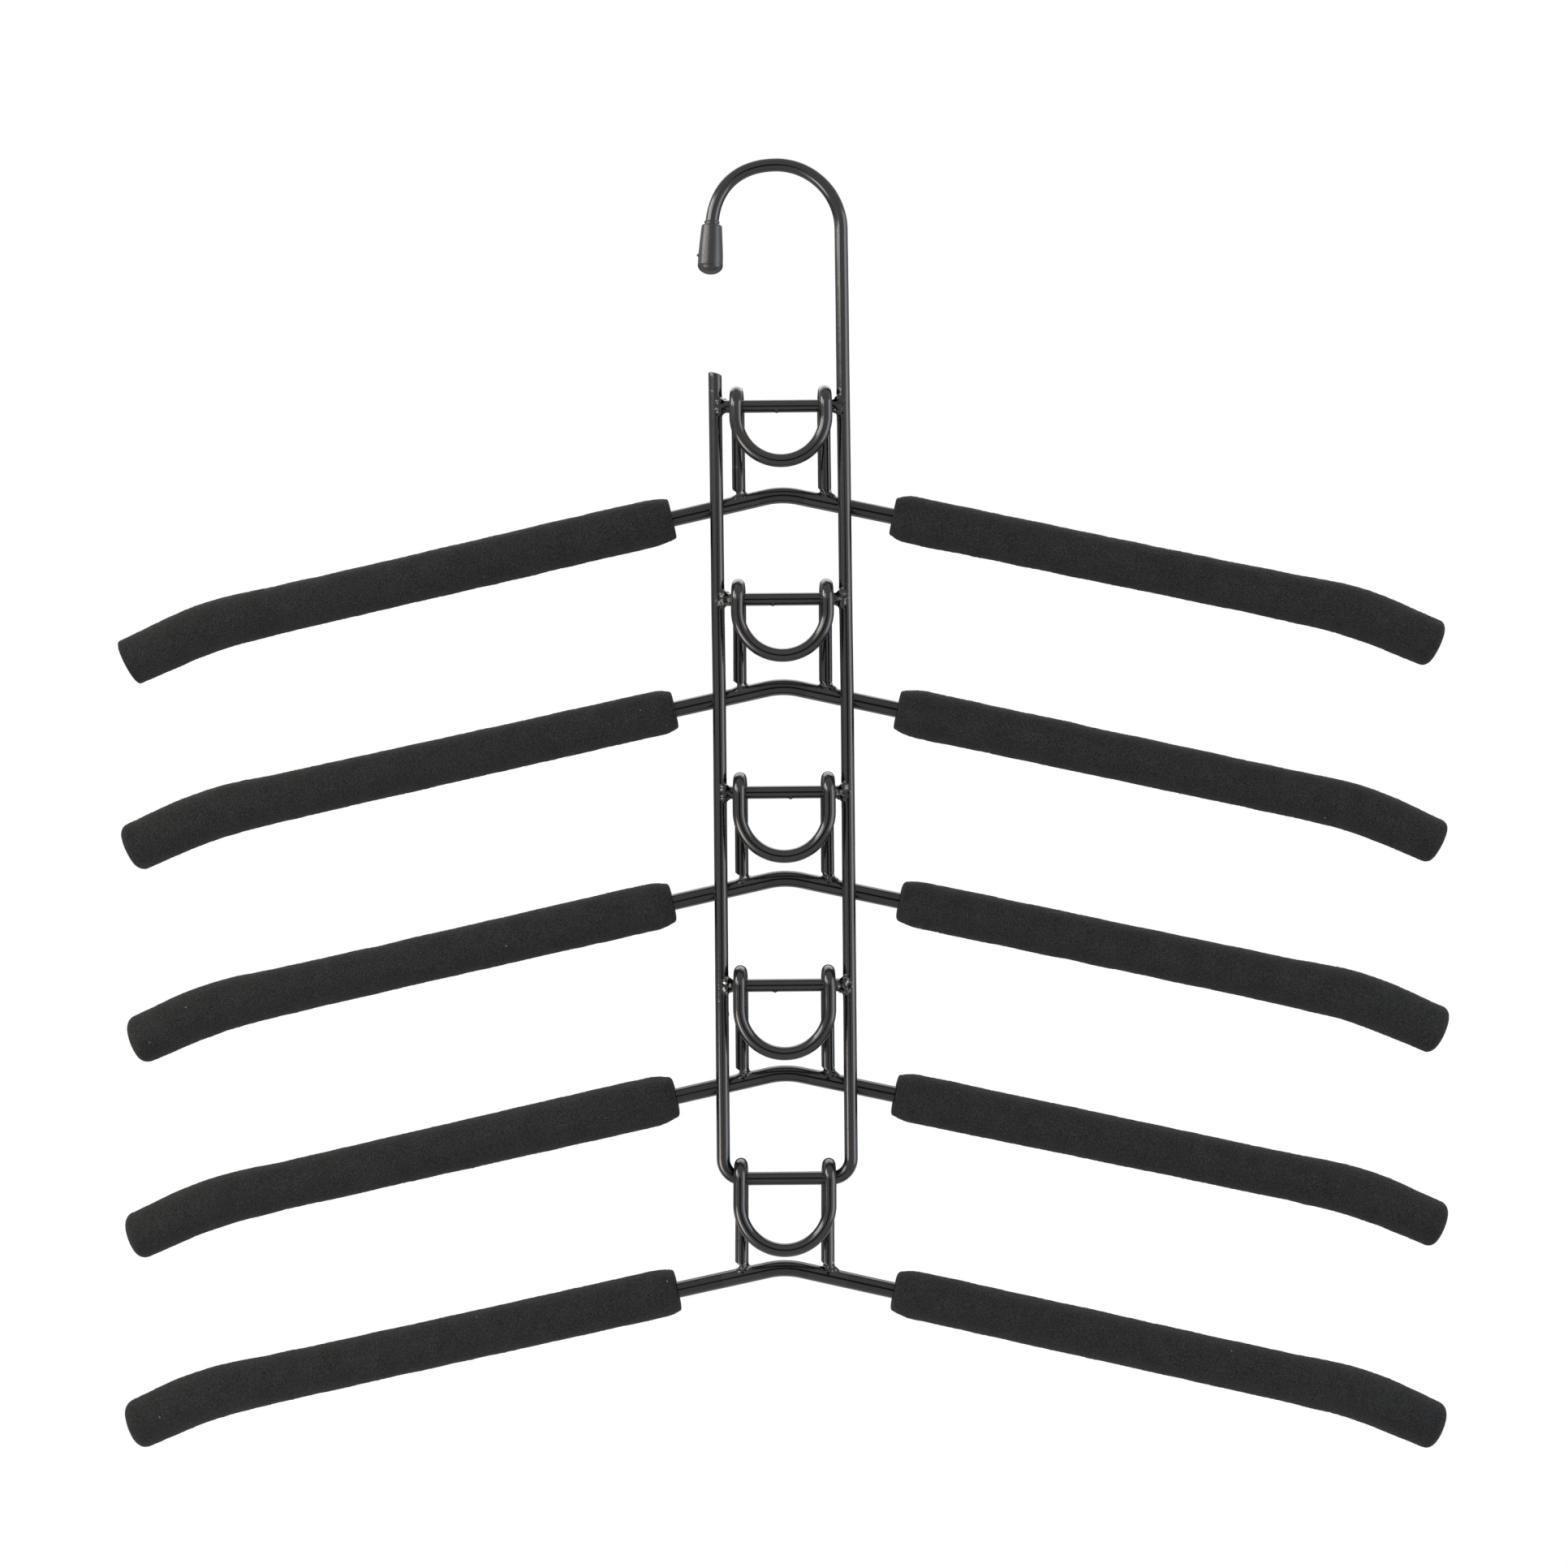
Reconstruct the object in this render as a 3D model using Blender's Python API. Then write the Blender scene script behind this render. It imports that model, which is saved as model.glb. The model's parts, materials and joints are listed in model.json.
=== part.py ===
"""Five-layer clothes hanger: a bent rod frame with welded rungs and five foam-covered arms that swing on them.

Metres, +Z up, +X to the right, +Y away from the viewer. The origin is the inside of the hook's top,
where the hanger rests on its rail. The uprights and rungs lie in the plane Y = 0, the arms behind it.
"""

import math

import bmesh
import bpy
from mathutils import Vector

# Wire stock, with its coating, and the clearance between two pieces that touch
ROD_DIAMETER = 0.0041
ARM_WIRE_DIAMETER = 0.0050
SEAT_GAP = 0.0003

# Frame: one rod bent into the hook, two uprights and the lowest bar
UPRIGHT_SPACING = 0.0403
FIRST_RUNG_DROP = 0.0741
LAYER_PITCH = 0.0609
CORNER_BEND_RADIUS = 0.0062
FREE_END_RISE = 0.0110
HOOK_TAIL_LENGTH = 0.0118

# Rungs: the welds that join them to the uprights
RUNG_WELD_LENGTH = 0.0020
RUNG_WELD_HEIGHT = 0.0033
RUNG_WELD_DEPTH = 0.0022

# Cap pushed over the hook's tip
CAP_LENGTH = 0.0172
CAP_MOUTH_DIAMETER = 0.0064
CAP_LIP_DIAMETER = 0.0056
CAP_LIP_LENGTH = 0.0013
CAP_WIDEST_DIAMETER = 0.0079
CAP_TAPER_LENGTH = 0.0110
CAP_END_WALL = 0.0024

# Double hooks: one wire that carries an arm, hangs over its rung and makes a loop in front
LEG_SPACING = 0.0272
LOOP_SPACING = 0.0282
LOOP_DROP = 0.0207
LEG_WELD_LENGTH = 0.0034
LEG_WELD_HEIGHT = 0.0021
LEG_WELD_DEPTH = 0.0024

# Arm wires: an arch in the middle, a straight slope, then a steeper end on each side
ARCH_DROP = 0.0284
ARCH_BEND_RADIUS = 0.0250
ARM_SLOPE = math.radians(12.3)
ARM_STRAIGHT_LENGTH = 0.1696
OUTER_BEND_RADIUS = 0.1100
TIP_SLOPE = math.radians(24.0)
TIP_STRAIGHT_LENGTH = 0.0155

# Foam sleeves on the arms
SLEEVE_START = 0.0352
SLEEVE_DIAMETER = 0.0148
SLEEVE_END_WALL = 0.0050
SLEEVE_MOUTH_ROUNDING = 0.0050
SLEEVE_TIP_ROUNDING = 0.0036
SLEEVE_MOUTH_SHARES = ((0.0, 0.80), (0.2, 0.89), (0.5, 0.96), (1.0, 1.0))
SLEEVE_TIP_SHARES = ((1.0, 1.0), (0.5, 0.96), (0.16, 0.86), (0.0, 0.70))
SLEEVE_BEND_SWELL_SHARE = 1.04

# How many layers there are, and how finely the round shapes are cut into faces
LAYER_COUNT = 5
ROD_BEVEL_STEPS = 4
HOOK_BEVEL_STEPS = 3
ARM_BEVEL_STEPS = 3
SLEEVE_BEVEL_STEPS = 4
HOOK_ARC_STEPS = 24
CORNER_ARC_STEPS = 6
CURL_ARC_STEPS = 8
LOOP_ARC_STEPS = 14
ARCH_ARC_STEPS = 3
OUTER_BEND_STEPS = 5
BEAD_SEGMENTS = 12
BEAD_RINGS = 8
CAP_SEGMENTS = 16
CAP_DOME_STEPS = 5
SMOOTH_ANGLE = math.radians(40.0)
MERGE_SHARE = 0.0001

# Densities, which decide how the lowest arm hangs: kilograms per cubic metre
STEEL_DENSITY = 7850.0
FOAM_DENSITY = 300.0

# Sizes that follow from the ones above
MERGE_DISTANCE = ROD_DIAMETER * MERGE_SHARE
ROD_RADIUS = ROD_DIAMETER / 2
ARM_WIRE_RADIUS = ARM_WIRE_DIAMETER / 2
UPRIGHT_X = UPRIGHT_SPACING / 2
HOOK_CENTRE_Z = ROD_RADIUS - UPRIGHT_X
BOTTOM_BAR_Z = -FIRST_RUNG_DROP - (LAYER_COUNT - 1) * LAYER_PITCH
ARM_Y = ROD_RADIUS + SEAT_GAP + ARM_WIRE_RADIUS
ARCH_LENGTH = ARCH_BEND_RADIUS * ARM_SLOPE
OUTER_BEND_LENGTH = OUTER_BEND_RADIUS * (TIP_SLOPE - ARM_SLOPE)
OUTER_BEND_START = ARCH_LENGTH + ARM_STRAIGHT_LENGTH
OUTER_BEND_END = OUTER_BEND_START + OUTER_BEND_LENGTH
SLEEVE_END = OUTER_BEND_END + TIP_STRAIGHT_LENGTH
ARM_WIRE_END = SLEEVE_END - SLEEVE_END_WALL


def clear_scene():
    for old in list(bpy.data.objects):
        bpy.data.objects.remove(old, do_unlink=True)


def surface_finish(name, colour, roughness, metallic):
    """A plain Principled BSDF material."""
    finish = bpy.data.materials.new(name)
    finish.use_nodes = True
    shader = finish.node_tree.nodes["Principled BSDF"]
    shader.inputs["Base Color"].default_value = (*colour, 1.0)
    shader.inputs["Roughness"].default_value = roughness
    shader.inputs["Metallic"].default_value = metallic
    return finish


def evenly(start, end, steps):
    """Values from start to end, both included."""
    return [start + (end - start) * step / steps for step in range(steps + 1)]


def arc(centre, radius, start, end, steps):
    """Points of an arc in the XZ plane, its angles counted from +X towards +Z."""
    turn = evenly(start, end, steps)
    return [centre + radius * Vector((math.cos(angle), 0, math.sin(angle))) for angle in turn]


def wire_curve(name, points, radius, bevel_steps, shares=None):
    """A round wire along the points, closed at both ends. Shares vary its thickness point by point."""
    path = bpy.data.curves.new(name, "CURVE")
    path.dimensions = "3D"
    path.bevel_depth = radius
    path.bevel_resolution = bevel_steps
    path.use_fill_caps = True
    spline = path.splines.new("POLY")
    spline.points.add(len(points) - 1)
    for place, spot in zip(points, spline.points):
        spot.co = (*place, 1.0)
    for share, spot in zip(shares or [], spline.points):
        spot.radius = share
    return path


def scratch_object(data, location=(0, 0, 0)):
    """An object that is only built on or cut with, and is never part of the hanger."""
    scratch = bpy.data.objects.new(data.name, data)
    scratch.location = location
    scratch.hide_render = True
    scratch.display_type = "WIRE"
    bpy.context.collection.objects.link(scratch)
    return scratch


def evaluated_mesh(shape):
    """The shape as its curve or its modifiers leave it, as one mesh with its doubled points merged."""
    bpy.context.view_layer.update()
    graph = bpy.context.evaluated_depsgraph_get()
    mesh = bpy.data.meshes.new_from_object(shape.evaluated_get(graph))
    mesh.name = shape.name
    cleaned = bmesh.new()
    cleaned.from_mesh(mesh)
    bmesh.ops.remove_doubles(cleaned, verts=cleaned.verts, dist=MERGE_DISTANCE)
    bmesh.ops.recalc_face_normals(cleaned, faces=cleaned.faces)
    cleaned.to_mesh(mesh)
    cleaned.free()
    return mesh


def combined_mesh(base, joined, cut):
    """The base mesh with some shapes joined to it and others cut out of it."""
    body = scratch_object(base)
    tools = []
    for operation, shapes in (("UNION", joined), ("DIFFERENCE", cut)):
        for data, location in shapes:
            tool = scratch_object(data, location)
            tools.append(tool)
            step = body.modifiers.new(data.name, "BOOLEAN")
            step.operation = operation
            step.object = tool
    result = evaluated_mesh(body)
    for scratch in [body, *tools]:
        bpy.data.objects.remove(scratch, do_unlink=True)
    return result


def wire_mesh(name, points, radius, bevel_steps, shares=None):
    """A wire as a mesh, for shapes that are joined or cut."""
    scratch = scratch_object(wire_curve(name, points, radius, bevel_steps, shares))
    mesh = evaluated_mesh(scratch)
    bpy.data.objects.remove(scratch, do_unlink=True)
    return mesh


def weld_bead(name, length, depth, height):
    """A rounded lump of weld metal with these half sizes along X, Y and Z."""
    bead = bmesh.new()
    bmesh.ops.create_uvsphere(bead, u_segments=BEAD_SEGMENTS, v_segments=BEAD_RINGS, radius=1)
    bmesh.ops.scale(bead, vec=(length, depth, height), verts=bead.verts)
    mesh = bpy.data.meshes.new(name)
    bead.to_mesh(mesh)
    bead.free()
    return mesh


def smooth(mesh):
    mesh.shade_smooth()
    mesh.set_sharp_from_angle(angle=SMOOTH_ANGLE)


def add_piece(name, data, finish, parent=None, location=(0, 0, 0), turn=0.0):
    """One named sub-part, placed under its parent and turned about the vertical."""
    if not data.materials:
        data.materials.append(finish)
    piece = bpy.data.objects.new(name, data)
    piece.parent = parent
    piece.location = location
    piece.rotation_euler.z = turn
    bpy.context.collection.objects.link(piece)
    return piece


def rung_height(layer):
    """Height of the rung, or of the lowest bar, that carries a layer. Layer 1 is the highest."""
    return -FIRST_RUNG_DROP - (layer - 1) * LAYER_PITCH


def hook_points(tail_length):
    """Centre line of the hook, from its tip over the top to the right upright."""
    tip = Vector((-UPRIGHT_X, 0, HOOK_CENTRE_Z - tail_length))
    return [tip] + arc(Vector((0, 0, HOOK_CENTRE_Z)), UPRIGHT_X, math.pi, 0, HOOK_ARC_STEPS)


def frame_rod_points():
    """The rod's centre line, from the hook's tip round to the free end of the left upright."""
    corner_z = BOTTOM_BAR_Z + CORNER_BEND_RADIUS
    right_corner = Vector((UPRIGHT_X - CORNER_BEND_RADIUS, 0, corner_z))
    left_corner = Vector((-right_corner.x, 0, corner_z))
    quarter = math.pi / 2
    right = arc(right_corner, CORNER_BEND_RADIUS, 0, -quarter, CORNER_ARC_STEPS)
    left = arc(left_corner, CORNER_BEND_RADIUS, -quarter, -math.pi, CORNER_ARC_STEPS)
    free_end = [Vector((-UPRIGHT_X, 0, FREE_END_RISE - FIRST_RUNG_DROP))]
    return hook_points(HOOK_TAIL_LENGTH) + right + left + free_end


def build_frame_rod():
    finish = surface_finish("black enamel on the frame rod", (0.024, 0.026, 0.028), 0.22, 0.0)
    rod = wire_curve("frame_rod", frame_rod_points(), ROD_RADIUS, ROD_BEVEL_STEPS)
    add_piece("frame_rod", rod, finish)


def rung_mesh():
    """A straight rod with a weld at each end, both ends hollowed to sit against the round uprights."""
    ends = [Vector((-UPRIGHT_X, 0, 0)), Vector((UPRIGHT_X, 0, 0))]
    rod = wire_mesh("rung", ends, ROD_RADIUS, ROD_BEVEL_STEPS)
    bead = weld_bead("rung weld", RUNG_WELD_LENGTH, RUNG_WELD_DEPTH, RUNG_WELD_HEIGHT)
    bead_x = UPRIGHT_X - ROD_RADIUS
    beads = [(bead, (side * bead_x, 0, 0)) for side in (-1, 1)]
    reach = Vector((0, 0, RUNG_WELD_HEIGHT + ROD_DIAMETER))
    upright = wire_mesh("upright room", [-reach, reach], ROD_RADIUS + SEAT_GAP, ROD_BEVEL_STEPS)
    uprights = [(upright, (side * UPRIGHT_X, 0, 0)) for side in (-1, 1)]
    return combined_mesh(rod, beads, uprights)


def build_rungs():
    """Rungs for every layer but the last, which hangs on the frame rod's own lowest bar."""
    finish = surface_finish("black enamel on the rungs", (0.024, 0.026, 0.028), 0.24, 0.0)
    mesh = rung_mesh()
    smooth(mesh)
    for layer in range(1, LAYER_COUNT):
        add_piece(f"rung_{layer}", mesh, finish, location=(0, 0, rung_height(layer)))


def cap_profile():
    """Half outline of the cap, from its mouth over the lip and down the widening skirt to the dome's tip."""
    dome = CAP_WIDEST_DIAMETER / 2
    dome_z = dome - CAP_LENGTH
    lip = CAP_LIP_DIAMETER / 2
    mouth = [(0, 0), (lip, 0), (lip, -CAP_LIP_LENGTH)]
    skirt = [(CAP_MOUTH_DIAMETER / 2, -CAP_LIP_LENGTH), (dome, -CAP_TAPER_LENGTH)]
    falls = evenly(0, math.pi / 2, CAP_DOME_STEPS)[:-1]
    ball = [(dome * math.cos(fall), dome_z - dome * math.sin(fall)) for fall in falls]
    return mouth + skirt + ball + [(0, -CAP_LENGTH)]


def turned_mesh(name, outline):
    """An outline of radii and heights, turned about the vertical into a closed solid."""
    turned = bmesh.new()
    corners = [turned.verts.new((radius, 0, height)) for radius, height in outline]
    edges = [turned.edges.new(pair) for pair in zip(corners, corners[1:])]
    bmesh.ops.spin(
        turned,
        geom=corners + edges,
        cent=(0, 0, 0),
        axis=(0, 0, 1),
        angle=math.tau,
        steps=CAP_SEGMENTS,
        use_merge=True,
    )
    bmesh.ops.remove_doubles(turned, verts=turned.verts, dist=MERGE_DISTANCE)
    bmesh.ops.recalc_face_normals(turned, faces=turned.faces)
    mesh = bpy.data.meshes.new(name)
    turned.to_mesh(mesh)
    turned.free()
    return mesh


def build_hook_tip_cap():
    """The cap's bore follows the rod's bend, and ends one clearance past the rod's tip."""
    finish = surface_finish("dark grey moulded rubber", (0.055, 0.056, 0.060), 0.62, 0.0)
    tail_length = HOOK_TAIL_LENGTH + SEAT_GAP
    mouth_z = HOOK_CENTRE_Z - tail_length - CAP_END_WALL + CAP_LENGTH
    place = Vector((-UPRIGHT_X, 0, mouth_z))
    solid = turned_mesh("hook_tip_cap", cap_profile())
    room = wire_mesh("hook room", hook_points(tail_length), ROD_RADIUS + SEAT_GAP, ROD_BEVEL_STEPS)
    mesh = combined_mesh(solid, [], [(room, -place)])
    smooth(mesh)
    add_piece("hook_tip_cap", mesh, finish, location=place)


def arm_point(distance):
    """A point of the right half of an arm wire, by its distance along the wire from the arch's top."""
    turned = min(distance, ARCH_LENGTH) / ARCH_BEND_RADIUS
    place = ARCH_BEND_RADIUS * Vector((math.sin(turned), 0, math.cos(turned) - 1))
    straight = min(max(distance - ARCH_LENGTH, 0), ARM_STRAIGHT_LENGTH)
    place += straight * Vector((math.cos(ARM_SLOPE), 0, -math.sin(ARM_SLOPE)))
    bent = min(max(distance - OUTER_BEND_START, 0), OUTER_BEND_LENGTH)
    slope = ARM_SLOPE + bent / OUTER_BEND_RADIUS
    across = math.sin(slope) - math.sin(ARM_SLOPE)
    down = math.cos(slope) - math.cos(ARM_SLOPE)
    place += OUTER_BEND_RADIUS * Vector((across, 0, down))
    beyond = max(distance - OUTER_BEND_END, 0)
    return place + beyond * Vector((math.cos(TIP_SLOPE), 0, -math.sin(TIP_SLOPE)))


def outer_bend_distances():
    return evenly(OUTER_BEND_START, OUTER_BEND_END, OUTER_BEND_STEPS)


def arm_wire_points(end):
    """The whole arm wire's centre line, from its left end to its right end."""
    half = evenly(0, ARCH_LENGTH, ARCH_ARC_STEPS)[1:] + outer_bend_distances() + [end]
    right = [arm_point(distance) for distance in half]
    left = [Vector((-point.x, 0, point.z)) for point in reversed(right)]
    return left + [arm_point(0)] + right


def double_hook_points():
    """Centre line about the rung's axis: a leg, over the rung, the front loop, and back to the other leg."""
    curl_z = ROD_DIAMETER + SEAT_GAP - ARM_Y
    leg_x = LEG_SPACING / 2
    loop_x = LOOP_SPACING / 2
    curl = []
    for step in range(CURL_ARC_STEPS + 1):
        share = step / CURL_ARC_STEPS
        over = math.pi * share
        x = leg_x + (loop_x - leg_x) * share
        curl.append(Vector((-x, ARM_Y * math.cos(over), curl_z + ARM_Y * math.sin(over))))
    leg_end = Vector((-leg_x, ARM_Y, -ARCH_DROP + height_on_arm(leg_x)))
    loop_centre = Vector((0, -ARM_Y, loop_x - LOOP_DROP))
    loop = arc(loop_centre, loop_x, -math.pi, 0, LOOP_ARC_STEPS)
    far_side = [Vector((-point.x, point.y, point.z)) for point in reversed([leg_end] + curl)]
    return [leg_end] + curl + loop + far_side


def height_on_arm(x):
    """Height of the arm wire's centre line on its straight stretch, counted from the arch's top."""
    arch_end = arm_point(ARCH_LENGTH)
    return arch_end.z - (x - arch_end.x) * math.tan(ARM_SLOPE)


def double_hook_mesh():
    """The bent wire with a weld on each leg, hollowed where the legs stand on the arm wire."""
    wire = wire_mesh("double hook", double_hook_points(), ROD_RADIUS, HOOK_BEVEL_STEPS)
    bead = weld_bead("leg weld", LEG_WELD_LENGTH, LEG_WELD_DEPTH, LEG_WELD_HEIGHT)
    leg_x = LEG_SPACING / 2
    bead_z = -ARCH_DROP + height_on_arm(leg_x) + ARM_WIRE_RADIUS
    beads = [(bead, (side * leg_x, ARM_Y, bead_z)) for side in (-1, 1)]
    room = wire_mesh(
        "arm wire room",
        arm_wire_points(SLEEVE_START),
        ARM_WIRE_RADIUS + SEAT_GAP,
        ARM_BEVEL_STEPS,
    )
    return combined_mesh(wire, beads, [(room, (0, ARM_Y, -ARCH_DROP))])


def arm_wire_mesh():
    return wire_mesh("arm wire", arm_wire_points(ARM_WIRE_END), ARM_WIRE_RADIUS, ARM_BEVEL_STEPS)


def sleeve_mesh():
    """The right-hand sleeve: a foam tube with a closed, rounded tip and a blind bore for the wire."""
    mouth = [
        (SLEEVE_START + along * SLEEVE_MOUTH_ROUNDING, wide) for along, wide in SLEEVE_MOUTH_SHARES
    ]
    bend = [(distance, SLEEVE_BEND_SWELL_SHARE) for distance in outer_bend_distances()]
    tip = [(SLEEVE_END - along * SLEEVE_TIP_ROUNDING, wide) for along, wide in SLEEVE_TIP_SHARES]
    stations = mouth + bend + tip
    points = [arm_point(distance) for distance, wide in stations]
    shares = [wide for distance, wide in stations]
    foam = wire_mesh("foam sleeve", points, SLEEVE_DIAMETER / 2, SLEEVE_BEVEL_STEPS, shares)
    mouth_overrun = SLEEVE_START - SLEEVE_MOUTH_ROUNDING
    bore_stations = [mouth_overrun, *outer_bend_distances(), ARM_WIRE_END + SEAT_GAP]
    bore = wire_mesh(
        "sleeve bore",
        [arm_point(distance) for distance in bore_stations],
        ARM_WIRE_RADIUS + SEAT_GAP,
        ARM_BEVEL_STEPS,
    )
    return combined_mesh(foam, [], [(bore, (0, 0, 0))])


def mass_and_moment(mesh, density, place):
    """Mass of a closed mesh at a place, and that mass times its centre, from tetrahedra to the origin."""
    mass = 0.0
    moment = Vector()
    mesh.calc_loop_triangles()
    for triangle in mesh.loop_triangles:
        corners = [mesh.vertices[index].co + place for index in triangle.vertices]
        portion = density * corners[0].dot(corners[1].cross(corners[2])) / math.factorial(3)
        mass += portion
        moment += portion * (corners[0] + corners[1] + corners[2]) / (len(corners) + 1)
    return mass, moment


def free_hang_angle(double_hook, arm_wire, sleeve):
    """The turn about the rung at which an arm with no upright behind it hangs, below its own weight."""
    arm_place = Vector((0, ARM_Y, -ARCH_DROP))
    loads = [
        mass_and_moment(double_hook, STEEL_DENSITY, Vector()),
        mass_and_moment(arm_wire, STEEL_DENSITY, arm_place),
        mass_and_moment(sleeve, FOAM_DENSITY, arm_place),
        mass_and_moment(sleeve, FOAM_DENSITY, arm_place),
    ]
    mass = sum(load[0] for load in loads)
    centre = sum((load[1] for load in loads), Vector()) / mass
    return math.atan(centre.y / centre.z)


def build_arms():
    """Every layer's arm, under an empty on the axis of the rung that it swings about."""
    hook_finish = surface_finish("black enamel on the double hooks", (0.022, 0.024, 0.026), 0.20, 0.0)
    wire_finish = surface_finish("black enamel on the arm wires", (0.022, 0.024, 0.026), 0.24, 0.0)
    foam_finish = surface_finish("black foam rubber", (0.023, 0.023, 0.022), 0.92, 0.0)
    double_hook = double_hook_mesh()
    arm_wire = arm_wire_mesh()
    sleeve = sleeve_mesh()
    for mesh in (double_hook, arm_wire, sleeve):
        smooth(mesh)
    for layer in range(1, LAYER_COUNT + 1):
        pivot = bpy.data.objects.new(f"arm_{layer}_pivot", None)
        pivot.location.z = rung_height(layer)
        bpy.context.collection.objects.link(pivot)
        if layer == LAYER_COUNT:
            pivot.rotation_euler.x = free_hang_angle(double_hook, arm_wire, sleeve)
        arm_place = (0, ARM_Y, -ARCH_DROP)
        add_piece(f"double_hook_{layer}", double_hook, hook_finish, pivot)
        add_piece(f"arm_wire_{layer}", arm_wire, wire_finish, pivot, arm_place)
        add_piece(f"foam_sleeve_right_{layer}", sleeve, foam_finish, pivot, arm_place)
        add_piece(f"foam_sleeve_left_{layer}", sleeve, foam_finish, pivot, arm_place, math.pi)


clear_scene()
build_frame_rod()
build_rungs()
build_hook_tip_cap()
build_arms()
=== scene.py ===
"""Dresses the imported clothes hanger: black enamelled wire, a rubber cap and foam sleeves, in white.

Metres, +Z up, +X to the right, +Y away from the viewer. The origin is the inside of the hook's top.
"""

import json
import math
from random import Random

import bmesh
import bpy
import numpy as np
from mathutils import Matrix, Vector, noise


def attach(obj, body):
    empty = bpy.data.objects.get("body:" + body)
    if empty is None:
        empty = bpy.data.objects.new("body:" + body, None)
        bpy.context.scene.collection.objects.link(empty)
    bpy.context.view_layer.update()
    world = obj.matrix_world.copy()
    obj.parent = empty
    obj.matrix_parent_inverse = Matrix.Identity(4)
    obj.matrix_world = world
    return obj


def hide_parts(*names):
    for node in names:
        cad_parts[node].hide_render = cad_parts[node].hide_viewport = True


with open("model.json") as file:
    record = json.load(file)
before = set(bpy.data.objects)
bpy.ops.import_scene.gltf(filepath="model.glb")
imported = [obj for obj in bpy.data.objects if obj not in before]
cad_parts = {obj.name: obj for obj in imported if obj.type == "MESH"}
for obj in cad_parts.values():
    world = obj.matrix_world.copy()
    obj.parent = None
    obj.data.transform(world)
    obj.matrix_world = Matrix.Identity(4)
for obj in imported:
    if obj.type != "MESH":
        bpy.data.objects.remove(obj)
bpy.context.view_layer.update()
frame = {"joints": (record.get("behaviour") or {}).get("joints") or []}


# The studio: white all round, a pale floor well below the hanger, and a camera level with its middle.
# Soft lamps stand above and below on the left and wide on the right. Four cards show only in gloss, as
# a dark line, dark rims, low glints and a dim left edge along every wire.
PHOTO_SIDE_PX = 1932
MM_PER_PHOTO_PX = 0.256
SENSOR_WIDTH_MM = 36.0
CAMERA_DISTANCE = 0.9
CAMERA_HEIGHT = -0.1933
CAMERA_ROLL = math.radians(0.5)
CAMERA_CLIP = 0.01
WORLD_SEEN = "ffffff"
WORLD_FILL = "f4f6ff"
WORLD_FILL_STRENGTH = 0.45
PAPER_COLOUR = "f2f2f2"
PAPER_BLEACH = 0.8
FLOOR_HEIGHT = -1.0
FLOOR_RADIUS = 1.4
FLOOR_FADE = (0.5, 1.3)
FLOOR_SIDES = 64
CARD_SIDES = 48
CARDS = (
    # name, place, half width and half height, colour and glow
    ("studio_lens_flag", (0.05, -0.88, CAMERA_HEIGHT), (0.21, 0.21), "141414", 1.0),
    ("studio_back_card", (0, 1.0, CAMERA_HEIGHT), (1.9, 0.5), "ffffff", 0.12),
    ("studio_low_card", (-0.88, -0.57, -0.63), (0.30, 0.27), "fff2ea", 10.0),
    ("studio_left_flag", (-1.02, 0.04, -0.17), (0.26, 0.36), "c0c0c0", 1.0),
)
LAMPS = (
    # name, place, width and height, power and colour
    ("key lamp", (-0.90, -0.95, 0.38), (0.6, 0.45), 6.0, "fffaf4"),
    ("left lamp", (-1.21, -0.32, 0.46), (0.6, 0.55), 10.5, "fff8f0"),
    ("low lamp", (-0.90, -0.70, -0.95), (0.7, 0.5), 4.0, "fff6ec"),
    ("top lamp", (0.0, 0.95, 0.80), (1.6, 1.2), 11.0, "ffffff"),
    ("side lamp", (1.22, -0.42, -0.1), (1.0, 1.3), 14.0, "f0f6ff"),
)


def linear(hex_colour):
    """An sRGB hex colour as linear red, green, blue and alpha."""
    parts = [int(hex_colour[start : start + 2], 16) / 255 for start in (0, 2, 4)]
    return (*[((part + 0.055) / 1.055) ** 2.4 if part > 0.04045 else part / 12.92 for part in parts], 1.0)


def add_node(tree, kind, inputs=None, **settings):
    """A new node with its settings. Its inputs take plain values or another node's output socket."""
    node = tree.nodes.new(kind)
    for name, value in settings.items():
        setattr(node, name, value)
    for socket, value in (inputs or {}).items():
        if isinstance(value, bpy.types.NodeSocket):
            tree.links.new(value, node.inputs[socket])
        else:
            node.inputs[socket].default_value = value
    return node


def blank_material(name):
    """A material and its emptied node tree."""
    material = bpy.data.materials.new(name)
    material.use_nodes = True
    material.node_tree.nodes.clear()
    return material, material.node_tree


def seen_directly(tree):
    """1 for rays from the camera and for those that a glossy or clear surface sends on, otherwise 0."""
    path = add_node(tree, "ShaderNodeLightPath").outputs
    seen = path["Is Camera Ray"]
    for other in ("Is Glossy Ray", "Is Transmission Ray"):
        seen = add_node(tree, "ShaderNodeMath", {0: seen, 1: path[other]}, operation="MAXIMUM").outputs[0]
    return seen


def build_world():
    world = bpy.data.worlds.new("white studio")
    world.use_nodes = True
    tree = world.node_tree
    tree.nodes.clear()
    white = add_node(tree, "ShaderNodeBackground", {"Color": linear(WORLD_SEEN), "Strength": 1.0})
    fill = add_node(
        tree, "ShaderNodeBackground", {"Color": linear(WORLD_FILL), "Strength": WORLD_FILL_STRENGTH}
    )
    mixed = add_node(
        tree, "ShaderNodeMixShader", {0: seen_directly(tree), 1: fill.outputs[0], 2: white.outputs[0]}
    )
    add_node(tree, "ShaderNodeOutputWorld", {"Surface": mixed.outputs[0]})
    bpy.context.scene.world = world


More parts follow.
